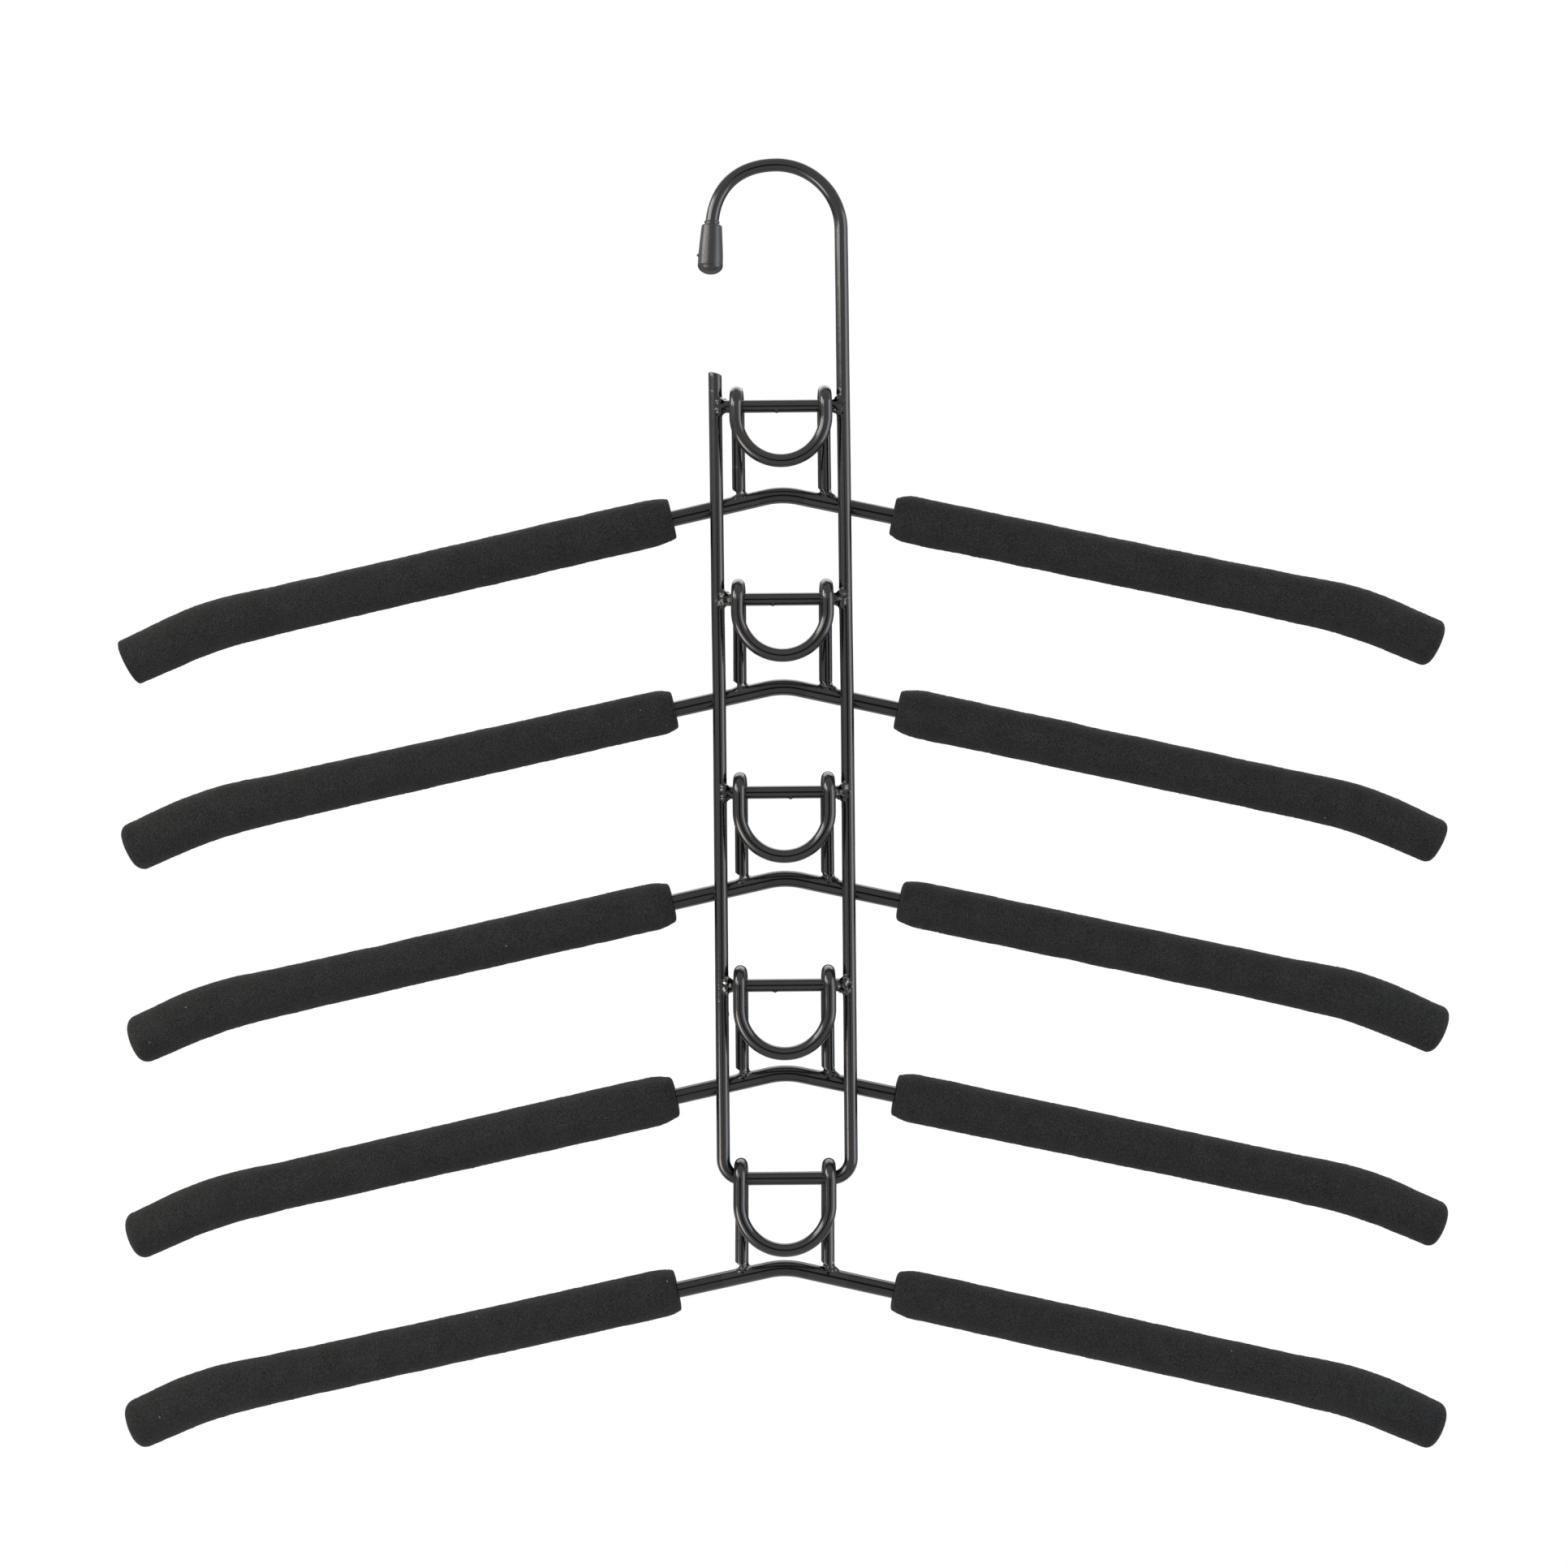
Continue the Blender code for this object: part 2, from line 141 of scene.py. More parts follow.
def round_sheet(name, centre, across, up, sides, finish):
    """A flat round sheet with these half axes."""
    turns = [math.tau * side / sides for side in range(sides)]
    rim = [centre + across * math.cos(turn) + up * math.sin(turn) for turn in turns]
    mesh = bpy.data.meshes.new(name)
    mesh.from_pydata(rim, [], [tuple(range(sides))])
    mesh.materials.append(finish)
    sheet = bpy.data.objects.new(name, mesh)
    bpy.context.collection.objects.link(sheet)
    return sheet


def build_floor():
    """A disc of paper that takes the shadow. Seen directly it is nearly white, and it fades at its edge."""
    paper, tree = blank_material("white studio paper")
    matt = add_node(tree, "ShaderNodeBsdfDiffuse", {"Color": linear(PAPER_COLOUR)})
    glow = add_node(tree, "ShaderNodeEmission", {"Color": linear(WORLD_SEEN), "Strength": 1.0})
    share = add_node(
        tree, "ShaderNodeMath", {0: seen_directly(tree), 1: PAPER_BLEACH}, operation="MULTIPLY"
    )
    lit = add_node(
        tree, "ShaderNodeMixShader", {0: share.outputs[0], 1: matt.outputs[0], 2: glow.outputs[0]}
    )
    place = add_node(tree, "ShaderNodeTexCoord").outputs["Object"]
    out = add_node(tree, "ShaderNodeVectorMath", {0: place}, operation="LENGTH").outputs["Value"]
    fade = add_node(
        tree,
        "ShaderNodeMapRange",
        dict(enumerate((out, *FLOOR_FADE, 0.0, 1.0))),
        interpolation_type="SMOOTHSTEP",
    )
    clear = add_node(tree, "ShaderNodeBsdfTransparent")
    faded = add_node(
        tree, "ShaderNodeMixShader", {0: fade.outputs[0], 1: lit.outputs[0], 2: clear.outputs[0]}
    )
    add_node(tree, "ShaderNodeOutputMaterial", {"Surface": faded.outputs[0]})
    across = Vector((FLOOR_RADIUS, 0, 0))
    up = Vector((0, FLOOR_RADIUS, 0))
    floor = round_sheet("studio_floor", Vector(), across, up, FLOOR_SIDES, paper)
    floor.location.z = FLOOR_HEIGHT


def gloss_card(name, place, size, colour, glow):
    """A rounded card that faces the hanger. It shows only in gloss, and casts no shadow."""
    card, tree = blank_material(name)
    face = add_node(tree, "ShaderNodeEmission", {"Color": linear(colour), "Strength": glow})
    add_node(tree, "ShaderNodeOutputMaterial", {"Surface": face.outputs[0]})
    across = Vector((-place[1], place[0], 0)).normalized() * size[0]
    up = Vector((0, 0, size[1]))
    holder = round_sheet(name, Vector(place), across, up, CARD_SIDES, card)
    holder.visible_camera = False
    holder.visible_diffuse = False
    holder.visible_transmission = False
    holder.visible_shadow = False


def soft_lamp(name, place, size, power, colour):
    """A rectangular lamp that faces the hanger's middle."""
    lamp = bpy.data.lights.new(name, "AREA")
    lamp.shape = "RECTANGLE"
    lamp.size, lamp.size_y = size
    lamp.energy = power
    lamp.color = linear(colour)[:3]
    holder = bpy.data.objects.new(name, lamp)
    holder.location = place
    way = Vector((0, 0, CAMERA_HEIGHT)) - Vector(place)
    holder.rotation_euler = way.to_track_quat("-Z", "Y").to_euler()
    holder.visible_camera = False
    bpy.context.collection.objects.link(holder)


def build_camera():
    view = bpy.data.cameras.new("camera")
    view.sensor_width = SENSOR_WIDTH_MM
    seen_width = PHOTO_SIDE_PX * MM_PER_PHOTO_PX / 1000
    view.lens = SENSOR_WIDTH_MM * CAMERA_DISTANCE / seen_width
    view.clip_start = CAMERA_CLIP
    camera = bpy.data.objects.new("camera", view)
    camera.location = (0, -CAMERA_DISTANCE, CAMERA_HEIGHT)
    camera.rotation_euler = (math.pi / 2, CAMERA_ROLL, 0)
    bpy.context.collection.objects.link(camera)
    bpy.context.scene.camera = camera


bpy.context.scene.view_settings.view_transform = "Standard"
build_world()
build_floor()
build_camera()
for card in CARDS:
    gloss_card(*card)
for lamp in LAMPS:
    soft_lamp(*lamp)


# The frame rod: 4 mm steel wire, bent cold into the rail hook, the uprights and the lowest bar, then
# dipped in black enamel. Its free end is sheared at a slant and stands clear above the first rung.
ROD_RADIUS = 0.00205
COAT = 0.00004
UPRIGHT_X = 0.02015
HOOK_RADIUS = 0.0204
HOOK_SHIFT = -0.0002
HOOK_FULLNESS = 0.0007
HOOK_TAIL = 0.0116
HOOK_STEPS = 96
TAIL_SPREAD = math.radians(3.0)
LEAN = (
    # height and shift to the right of the whole frame there: its upper part was bent a little sideways
    (-0.165, 0.0),
    (-0.1406, -0.00018),
    (-0.1124, -0.00028),
    (-0.0842, -0.00040),
    (-0.0663, -0.00048),
    (-0.0382, -0.00056),
    (-0.0228, -0.00065),
    (-0.0100, -0.00070),
)
CORNER_BEND = 0.0062
CORNER_STEPS = 24
FREE_END_RISE = 0.0105
FREE_END_SLANT = 0.24
SLANT_REACH = 0.004
WIRE_RIM = 0.0005
WIRE_RIM_STEPS = 4
WIRE_SIDES = 40
STATION_STEP = 0.0009
MERGE_DISTANCE = 1e-6
# height and length of the rod's unevenness, and of the grain that wires lack
ROD_RIPPLE = (0.00005, 0.007)
NO_GRAIN = (0.0, 0.001)
ROD_SEED = 3.0
ROD_MARKS = (
    # side, height, turn from the front towards the right, reach and how far the coat stands out
    (1, -0.0154, math.radians(-62), 0.0010, -0.00022),
    (-1, -0.0825, math.radians(35), 0.0007, 0.00030),
    (-1, -0.2655, math.radians(80), 0.0006, 0.00030),
)
ENAMEL_COLOUR = "0b0c0d"
ENAMEL_BROWN = "120e0c"
ENAMEL_ROUGHNESS = (0.13, 0.19)
ENAMEL_IOR = 1.52
ENAMEL_CLOUD = 0.006
ENAMEL_RIPPLE = 0.0025
ENAMEL_RIPPLE_RELIEF = {"Distance": 0.00003, "Strength": 0.35}
ENAMEL_GRAIN = 0.0004
ENAMEL_GRAIN_RELIEF = {"Distance": 0.000004, "Strength": 0.15}
NOISE_RANGE = (0.3, 0.7)
AS_IT_IS = (0.0, 1.0, 0.0, 1.0)
WELD_METAL = "a6a6a2"
WELD_ROUGHNESS = 0.25

rung_z = [joint["pos_m"][2] for joint in sorted(frame["joints"], key=lambda joint: joint["name"])]


def layered_colour(tree, base, *layers):
    """A base colour with others over it. Each layer is a value, the range that shows it, and a colour."""
    colour = linear(base)
    for value, span, over in layers:
        mask = add_node(tree, "ShaderNodeMapRange", dict(enumerate((value, *span))))
        inputs = {"Factor": mask.outputs[0], "A": colour, "B": linear(over)}
        colour = add_node(tree, "ShaderNodeMix", inputs, data_type="RGBA").outputs["Result"]
    return colour


def enamel(name, seed, ior=ENAMEL_IOR):
    """Black dipped enamel on steel wire: glossy, with the faint unevenness of a thick coat that ran.

    The coat's ripples are 2.5 mm long. Where a mesh says bare_metal, the weld's steel shows through.
    """
    finish, tree = blank_material(name)
    place = add_node(tree, "ShaderNodeTexCoord").outputs["Object"]
    cloud, ripple, grain = (
        add_node(
            tree,
            "ShaderNodeTexNoise",
            {"Vector": place, "W": seed, "Scale": 1 / length, "Detail": detail},
            noise_dimensions="4D",
        ).outputs[0]
        for length, detail in ((ENAMEL_CLOUD, 3.0), (ENAMEL_RIPPLE, 1.0), (ENAMEL_GRAIN, 2.0))
    )
    coarse = add_node(tree, "ShaderNodeBump", {"Height": ripple, **ENAMEL_RIPPLE_RELIEF}).outputs[0]
    fine = add_node(tree, "ShaderNodeBump", {"Height": grain, **ENAMEL_GRAIN_RELIEF, "Normal": coarse})
    rough = add_node(
        tree, "ShaderNodeMapRange", dict(enumerate((grain, *NOISE_RANGE, *ENAMEL_ROUGHNESS)))
    )
    bare = add_node(tree, "ShaderNodeAttribute", attribute_name="bare_metal").outputs["Fac"]
    colour = layered_colour(
        tree,
        ENAMEL_COLOUR,
        (cloud, AS_IT_IS, ENAMEL_BROWN),
        (bare, AS_IT_IS, WELD_METAL),
    )
    gloss = add_node(tree, "ShaderNodeMix", {"Factor": bare, "A": rough.outputs[0], "B": WELD_ROUGHNESS})
    shader = add_node(
        tree,
        "ShaderNodeBsdfPrincipled",
        {
            "Base Color": colour,
            "Metallic": bare,
            "Roughness": gloss.outputs["Result"],
            "IOR": ior,
            "Normal": fine.outputs[0],
        },
    )
    add_node(tree, "ShaderNodeOutputMaterial", {"Surface": shader.outputs[0]})
    return finish


def skin_tree():
    """Geometry Nodes: carries an outline of distances and radii along a path, as one closed skin.

    Ripples and a finer grain push the skin in and out.
    """
    tree = bpy.data.node_groups.new("skin along a path", "GeometryNodeTree")
    sockets = {
        "Outline": "Geometry",
        "Path": "Object",
        "Sides": "Int",
        "Ripple Height": "Float",
        "Ripple Length": "Float",
        "Ripple Seed": "Float",
        "Grain Height": "Float",
        "Grain Length": "Float",
        "Finish": "Material",
    }
    for name, kind in sockets.items():
        tree.interface.new_socket(name, in_out="INPUT", socket_type="NodeSocket" + kind)
    tree.interface.new_socket("Skin", in_out="OUTPUT", socket_type="NodeSocketGeometry")
    given = add_node(tree, "NodeGroupInput").outputs
    number = "ShaderNodeMath"
    vector = "ShaderNodeVectorMath"

    def result(kind, operation, *values):
        return add_node(tree, kind, dict(enumerate(values)), operation=operation).outputs[0]

    place = add_node(tree, "GeometryNodeInputPosition").outputs[0]
    counts = add_node(tree, "GeometryNodeAttributeDomainSize", {0: given["Outline"]}, component="CURVE")
    stations = counts.outputs["Point Count"]
    columns = result(number, "ADD", given["Sides"], 1)
    grid = add_node(
        tree,
        "GeometryNodeMeshGrid",
        {"Size X": 1.0, "Size Y": 1.0, "Vertices X": stations, "Vertices Y": columns},
    )
    flat = add_node(tree, "ShaderNodeSeparateXYZ", {0: place}).outputs
    rows = result(number, "SUBTRACT", stations, 1)
    row = result(number, "MULTIPLY", result(number, "ADD", flat["X"], 0.5), rows)
    angle = result(number, "MULTIPLY", result(number, "ADD", flat["Y"], 0.5), math.tau)
    station = add_node(
        tree,
        "GeometryNodeSampleIndex",
        {"Geometry": given["Outline"], "Value": place, "Index": result(number, "ROUND", row)},
        data_type="FLOAT_VECTOR",
        domain="POINT",
    )
    station = add_node(tree, "ShaderNodeSeparateXYZ", {0: station.outputs[0]}).outputs
    path = add_node(tree, "GeometryNodeObjectInfo", {"Object": given["Path"]}).outputs["Geometry"]
    spot = add_node(
        tree,
        "GeometryNodeSampleCurve",
        {"Curves": path, "Length": station["X"]},
        mode="LENGTH",
        use_all_curves=True,
    ).outputs
    side = result(vector, "CROSS_PRODUCT", spot["Tangent"], spot["Normal"])
    ahead = result(vector, "MULTIPLY", spot["Normal"], result(number, "COSINE", angle))
    beside = result(vector, "MULTIPLY", side, result(number, "SINE", angle))
    outward = result(vector, "ADD", ahead, beside)
    radius = result(vector, "MULTIPLY", outward, station["Y"])
    smooth_place = result(vector, "ADD", spot["Position"], radius)
    pushes = []
    for form, detail in (("Ripple", 2.0), ("Grain", 1.0)):
        wave = add_node(
            tree,
            "ShaderNodeTexNoise",
            {
                "Vector": smooth_place,
                "W": given["Ripple Seed"],
                "Scale": result(number, "DIVIDE", 1.0, given[form + " Length"]),
                "Detail": detail,
            },
            noise_dimensions="4D",
        ).outputs[0]
        centred = result(number, "SUBTRACT", wave, 0.5)
        pushes.append(result(number, "MULTIPLY", centred, given[form + " Height"]))
    push = result(vector, "MULTIPLY", outward, result(number, "ADD", *pushes))
    moved = result(vector, "ADD", smooth_place, push)
    skin = add_node(
        tree, "GeometryNodeSetPosition", {"Geometry": grid.outputs["Mesh"], "Position": moved}
    )
    merged = add_node(
        tree, "GeometryNodeMergeByDistance", {"Geometry": skin.outputs[0], "Distance": MERGE_DISTANCE}
    )
    shaded = add_node(tree, "GeometryNodeSetShadeSmooth", {"Geometry": merged.outputs[0]})
    real = add_node(tree, "GeometryNodeRealizeInstances", {"Geometry": shaded.outputs[0]})
    coloured = add_node(
        tree,
        "GeometryNodeSetMaterial",
        {"Geometry": real.outputs[0], "Material": given["Finish"]},
    )
    add_node(tree, "NodeGroupOutput", {0: coloured.outputs[0]})
    return tree


def line_object(name, points):
    """A bare polyline for the nodes to follow. It is removed once the skin is made."""
    data = bpy.data.curves.new(name, "CURVE")
    data.dimensions = "3D"
    spline = data.splines.new("POLY")
    spline.points.add(len(points) - 1)
    for place, spot in zip(points, spline.points):
        spot.co = (*place, 1.0)
    line = bpy.data.objects.new(name, data)
    bpy.context.collection.objects.link(line)
    return line


def outward_mesh(mesh):
    """Turns the mesh inside out if its volume counts as negative."""
    shape = bmesh.new()
    shape.from_mesh(mesh)
    if shape.calc_volume(signed=True) < 0:
        mesh.flip_normals()
    shape.free()
    return mesh


def skin_mesh(name, path, outline, sides, finish, seed, ripple, grain=NO_GRAIN):
    """The nodes' result as a plain mesh. Its ripple and its grain each have a height and a length."""
    path_line = line_object(name + " path", path)
    holder = line_object(name + " outline", outline)
    nodes = holder.modifiers.new("skin", "NODES")
    nodes.node_group = SKIN
    inputs = {
        "Path": path_line,
        "Sides": sides,
        "Ripple Height": ripple[0],
        "Ripple Length": ripple[1],
        "Ripple Seed": seed,
        "Grain Height": grain[0],
        "Grain Length": grain[1],
        "Finish": finish,
    }
    for socket in SKIN.interface.items_tree:
        if socket.in_out == "INPUT" and socket.name in inputs:
            nodes[socket.identifier] = inputs[socket.name]
    graph = bpy.context.evaluated_depsgraph_get()
    mesh = bpy.data.meshes.new_from_object(holder.evaluated_get(graph))
    mesh.name = name
    for line in (holder, path_line):
        bpy.data.objects.remove(line, do_unlink=True)
    return outward_mesh(mesh)


def mesh_points(mesh):
    points = np.empty(len(mesh.vertices) * 3)
    mesh.vertices.foreach_get("co", points)
    return points.reshape(-1, 3)


def move_points(mesh, points):
    mesh.vertices.foreach_set("co", points.ravel())
    mesh.update()


def slant_end(mesh, tip, axis, across, slope, reach):
    """Leans the end of a wire, so that the cut isn't square: the shift fades out over its reach."""
    points = mesh_points(mesh)
    inward = (np.array(tip) - points) @ np.array(axis)
    sideways = (points - np.array(tip)) @ np.array(across)
    near = np.linalg.norm(points - np.array(tip), axis=1) < 2 * reach
    fade = np.clip(1 - inward / reach, 0, 1) * near
    fade = fade * fade * (3 - 2 * fade)
    move_points(mesh, points + np.outer(sideways * fade * slope, axis))


def lean_mesh(mesh):
    """Shifts a piece of the frame sideways by its height, as the frame leans."""
    points = mesh_points(mesh)
    heights, shifts = zip(*LEAN)
    points[:, 0] += np.interp(points[:, 2], heights, shifts)
    move_points(mesh, points)


def finished_piece(name, mesh, body, *nodes, slot="black_enamel"):
    piece = bpy.data.objects.new(name, mesh)
    bpy.context.collection.objects.link(piece)
    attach(piece, body)
    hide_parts(*nodes)
    return piece


def arc(centre, radius, start, end, steps):
    """Points of an arc in the XZ plane, its angles counted from +X towards +Z."""
    turns = [start + (end - start) * step / steps for step in range(steps + 1)]
    return [centre + radius * Vector((math.cos(turn), 0, math.sin(turn))) for turn in turns]


def wire_outline(length, radius, step=STATION_STEP):
    """Distances and radii of a wire with slightly rounded ends."""
    quarter = [math.pi / 2 * part / WIRE_RIM_STEPS for part in range(WIRE_RIM_STEPS, -1, -1)]
    start = [
        (WIRE_RIM - WIRE_RIM * math.sin(turn), radius - WIRE_RIM + WIRE_RIM * math.cos(turn))
        for turn in quarter
    ]
    count = max(2, round((length - 2 * WIRE_RIM) / step))
    inner = [WIRE_RIM + (length - 2 * WIRE_RIM) * part / count for part in range(1, count)]
    end = [(length - along, wide) for along, wide in reversed(start)]
    profile = [(0, 0)] + start + [(along, radius) for along in inner] + end + [(length, 0)]
    return [(along, wide, 0) for along, wide in profile]


def path_length(points):
    return sum((b - a).length for a, b in zip(points, points[1:]))


SKIN = skin_tree()
hook_centre = Vector((HOOK_SHIFT, 0, ROD_RADIUS - HOOK_RADIUS))
tail_turn = math.pi - TAIL_SPREAD
tail_top = hook_centre + HOOK_RADIUS * Vector((math.cos(tail_turn), 0, math.sin(tail_turn)))
tail_way = Vector((-math.sin(TAIL_SPREAD), 0, -math.cos(TAIL_SPREAD)))
tail_tip = tail_top + (HOOK_TAIL + HOOK_RADIUS * TAIL_SPREAD) * tail_way
hook_path = []
for point in arc(hook_centre, HOOK_RADIUS, tail_turn, 0, HOOK_STEPS):
    away = point - hook_centre
    share = max(0.0, math.atan2(away.z, away.x) - math.pi / 2) / (tail_turn - math.pi / 2)
    hook_path.append(point + HOOK_FULLNESS * math.sin(math.pi * share) ** 2 * away.normalized())
corner_z = rung_z[-1] + CORNER_BEND
corner_x = UPRIGHT_X - CORNER_BEND
free_end = Vector((-UPRIGHT_X, 0, rung_z[0] + FREE_END_RISE))
rod_path = (
    [tail_tip]
    + hook_path
    + arc(Vector((corner_x, 0, corner_z)), CORNER_BEND, 0, -math.pi / 2, CORNER_STEPS)
    + arc(Vector((-corner_x, 0, corner_z)), CORNER_BEND, -math.pi / 2, -math.pi, CORNER_STEPS)
    + [free_end]
)
rod_enamel = enamel("dipped black enamel on the frame rod", seed=1.0)
rod_mesh = skin_mesh(
    "frame_rod_enamelled",
    rod_path,
    wire_outline(path_length(rod_path), ROD_RADIUS + COAT),
    WIRE_SIDES,
    rod_enamel,
    ROD_SEED,
    ROD_RIPPLE,
)
slant_end(rod_mesh, free_end, (0, 0, 1), (-1, 0, 0), FREE_END_SLANT, SLANT_REACH)
rod_points = mesh_points(rod_mesh)
for side, height, turn, reach, rise in ROD_MARKS:
    outward = np.array([math.sin(turn), -math.cos(turn), 0])
    mark = np.array([side * UPRIGHT_X, 0, height]) + ROD_RADIUS * outward
    away = np.linalg.norm(rod_points - mark, axis=1) / reach
    rod_points += np.outer(rise * np.clip(1 - away**2, 0, 1) ** 2, outward)
move_points(rod_mesh, rod_points)
lean_mesh(rod_mesh)
finished_piece("frame_rod_enamelled", rod_mesh, "frame", "frame_rod")


# The rungs: four straight lengths of the same wire, pressed between the uprights and butt-welded before
# dipping. The enamel fills each joint to a smooth hollow, over the squeezed-out metal of the weld.
RUNG_RADIUS = 0.00203
RUNG_RINGS = 90
RUNG_SEED = 40
RUNG_STUB = 0.0065
STUB_TAPER = 0.0022
STUB_STEP = 0.0004
STUB_PROUD = 0.00003
STUB_SUNK = 0.00006
FUSE_VOXEL = 0.0002
RUNG_FILLET = 0.00045
FUSE_SMOOTHING = 6
FUSE_SIDES = 48
LUMP_SUBDIVISIONS = 4
BEAD = (0.0012, 0.0018, 0.0023)
BEAD_VARIES = (0.85, 1.12)
BEAD_SUNK = 0.0002
BEAD_WANDER = 0.0004
BEAD_TURN = 0.25
LOBE = (0.0015, 0.0012, 0.0013)
LOBE_OFFSET = (0.0007, 0.0015, 0.0015)
LOBE_VARIES = (0.85, 1.1)
LOBE_TURN = math.radians(38)
LOBE_TURN_VARIES = (0.7, 1.3)
SPATTERS = 2
SPATTER_INWARD = (0.0004, 0.0012)
SPATTER_RING = (0.0018, 0.0022)
SPATTER_SIZE = (0.0003, 0.0005)
SPATTER_STRETCH = 1.2
DRIP = (0.0004, 0.0004, 0.00045)
DRIP_WANDER = 0.011
DRIP_FRONT = 0.0008
DRIP_SUNK = 0.0001
WELD_FRONT = 0.001
WELD_REACH = 0.0034
WELD_EDGE = 2.5
WELD_RIPPLE = 0.00022
WELD_RIPPLE_LENGTH = 0.0009
WELD_BARE = (0.20, 0.34)
# how rough the weld set and how much of its steel is bare, at each rung's left and right end
WELD_SHINE = ((0.0, 0.45), (0.6, 0.45), (0.0, 0.6), (1.0, 0.8))


def lump(centre, sizes, turn=0.0):
    """A rounded lump of weld metal, turned about Y."""
    shape = bmesh.new()
    bmesh.ops.create_icosphere(shape, subdivisions=LUMP_SUBDIVISIONS, radius=1)
    bmesh.ops.scale(shape, vec=sizes, verts=shape.verts)
    bmesh.ops.rotate(shape, verts=shape.verts, matrix=Matrix.Rotation(turn, 3, "Y"))
    bmesh.ops.translate(shape, vec=centre, verts=shape.verts)
    return shape


def stub(start, end, radii, slant=0.0):
    """A round bar with one radius per ring. A slant moves its start by how far left or right it lies."""
    shape = bmesh.new()
    way = end - start
    side = Vector((0, 1, 0)).cross(way).normalized()
    front = way.normalized().cross(side)
    rings = []
    for ring, radius in enumerate(radii):
        share = ring / (len(radii) - 1)
        centre = start + way * share
        corners = []
        for corner in range(FUSE_SIDES):
            turn = math.tau * corner / FUSE_SIDES
            reach = radius * (math.cos(turn) * side + math.sin(turn) * front)
            lean = way.normalized() * slant * reach.x * (1 - share)
            corners.append(shape.verts.new(centre + reach + lean))
        rings.append(corners)
    for low, high in zip(rings, rings[1:]):
        for corner in range(FUSE_SIDES):
            after = (corner + 1) % FUSE_SIDES
            shape.faces.new((low[corner], low[after], high[after], high[corner]))
    shape.faces.new(rings[0][::-1])
    shape.faces.new(rings[-1])
    bmesh.ops.recalc_face_normals(shape, faces=shape.faces)
    return shape


def dipping_radii(length, radius, taper_start=True):
    """Radii of a stub that lies just proud of a wire and dips under its skin at its ends."""
    count = round(length / STUB_STEP)
    radii = []
    for ring in range(count + 1):
        along = length * ring / count
        to_end = min(along if taper_start else length, length - along)
        share = min(1.0, to_end / STUB_TAPER)
        share = share * share * (3 - 2 * share)
        radii.append(radius - STUB_SUNK + (STUB_PROUD + STUB_SUNK) * share)
    return radii


def fused_mesh(name, shapes, finish, fillet):
    """Closed shapes run together as enamel over a weld does: swollen, remeshed, shrunk back, smoothed."""
    joined = bmesh.new()
    for shape in shapes:
        part = bpy.data.meshes.new("part")
        shape.to_mesh(part)
        shape.free()
        joined.from_mesh(part)
        bpy.data.meshes.remove(part)
    mesh = bpy.data.meshes.new(name)
    joined.to_mesh(mesh)
    joined.free()
    holder = bpy.data.objects.new(name, mesh)
    bpy.context.collection.objects.link(holder)
    for strength in (fillet, -fillet):
        swell = holder.modifiers.new("swell", "DISPLACE")
        swell.strength = strength
        swell.mid_level = 0.0
        remesh = holder.modifiers.new("remesh", "REMESH")
        remesh.mode = "VOXEL"
        remesh.voxel_size = FUSE_VOXEL
    flow = holder.modifiers.new("flow", "SMOOTH")
    flow.factor = 0.5
    flow.iterations = FUSE_SMOOTHING
    graph = bpy.context.evaluated_depsgraph_get()
    fused = bpy.data.meshes.new_from_object(holder.evaluated_get(graph))
    fused.name = name
    bpy.data.objects.remove(holder, do_unlink=True)
    bpy.data.meshes.remove(mesh)
    fused.shade_smooth()
    fused.materials.clear()
    fused.materials.append(finish)
    return outward_mesh(fused)


def ripple_welds(mesh, joints, reach):
    """Roughens the skin near the joints, as weld metal sets, and marks where its steel is left bare.

    Each joint is a place with its share of roughness and bare steel.
    """
    points = mesh_points(mesh)
    normals = np.empty(points.size)
    mesh.vertices.foreach_get("normal", normals)
    normals = normals.reshape(-1, 3)
    bare = np.zeros(len(points))
    for joint, shine in joints:
        share = np.clip(1 - np.linalg.norm(points - np.array(joint), axis=1) / reach, 0, 1)
        for spot in np.flatnonzero(share):
            wave = noise.noise(Vector(points[spot]) / WELD_RIPPLE_LENGTH)
            near = min(1.0, WELD_EDGE * share[spot])
            points[spot] += WELD_RIPPLE * shine * near * wave * normals[spot]
            bare[spot] = shine * near * np.interp(wave, WELD_BARE, (0, 1))
    move_points(mesh, points)
    marks = mesh.attributes.new("bare_metal", "FLOAT", "POINT")
    marks.data.foreach_set("value", bare)


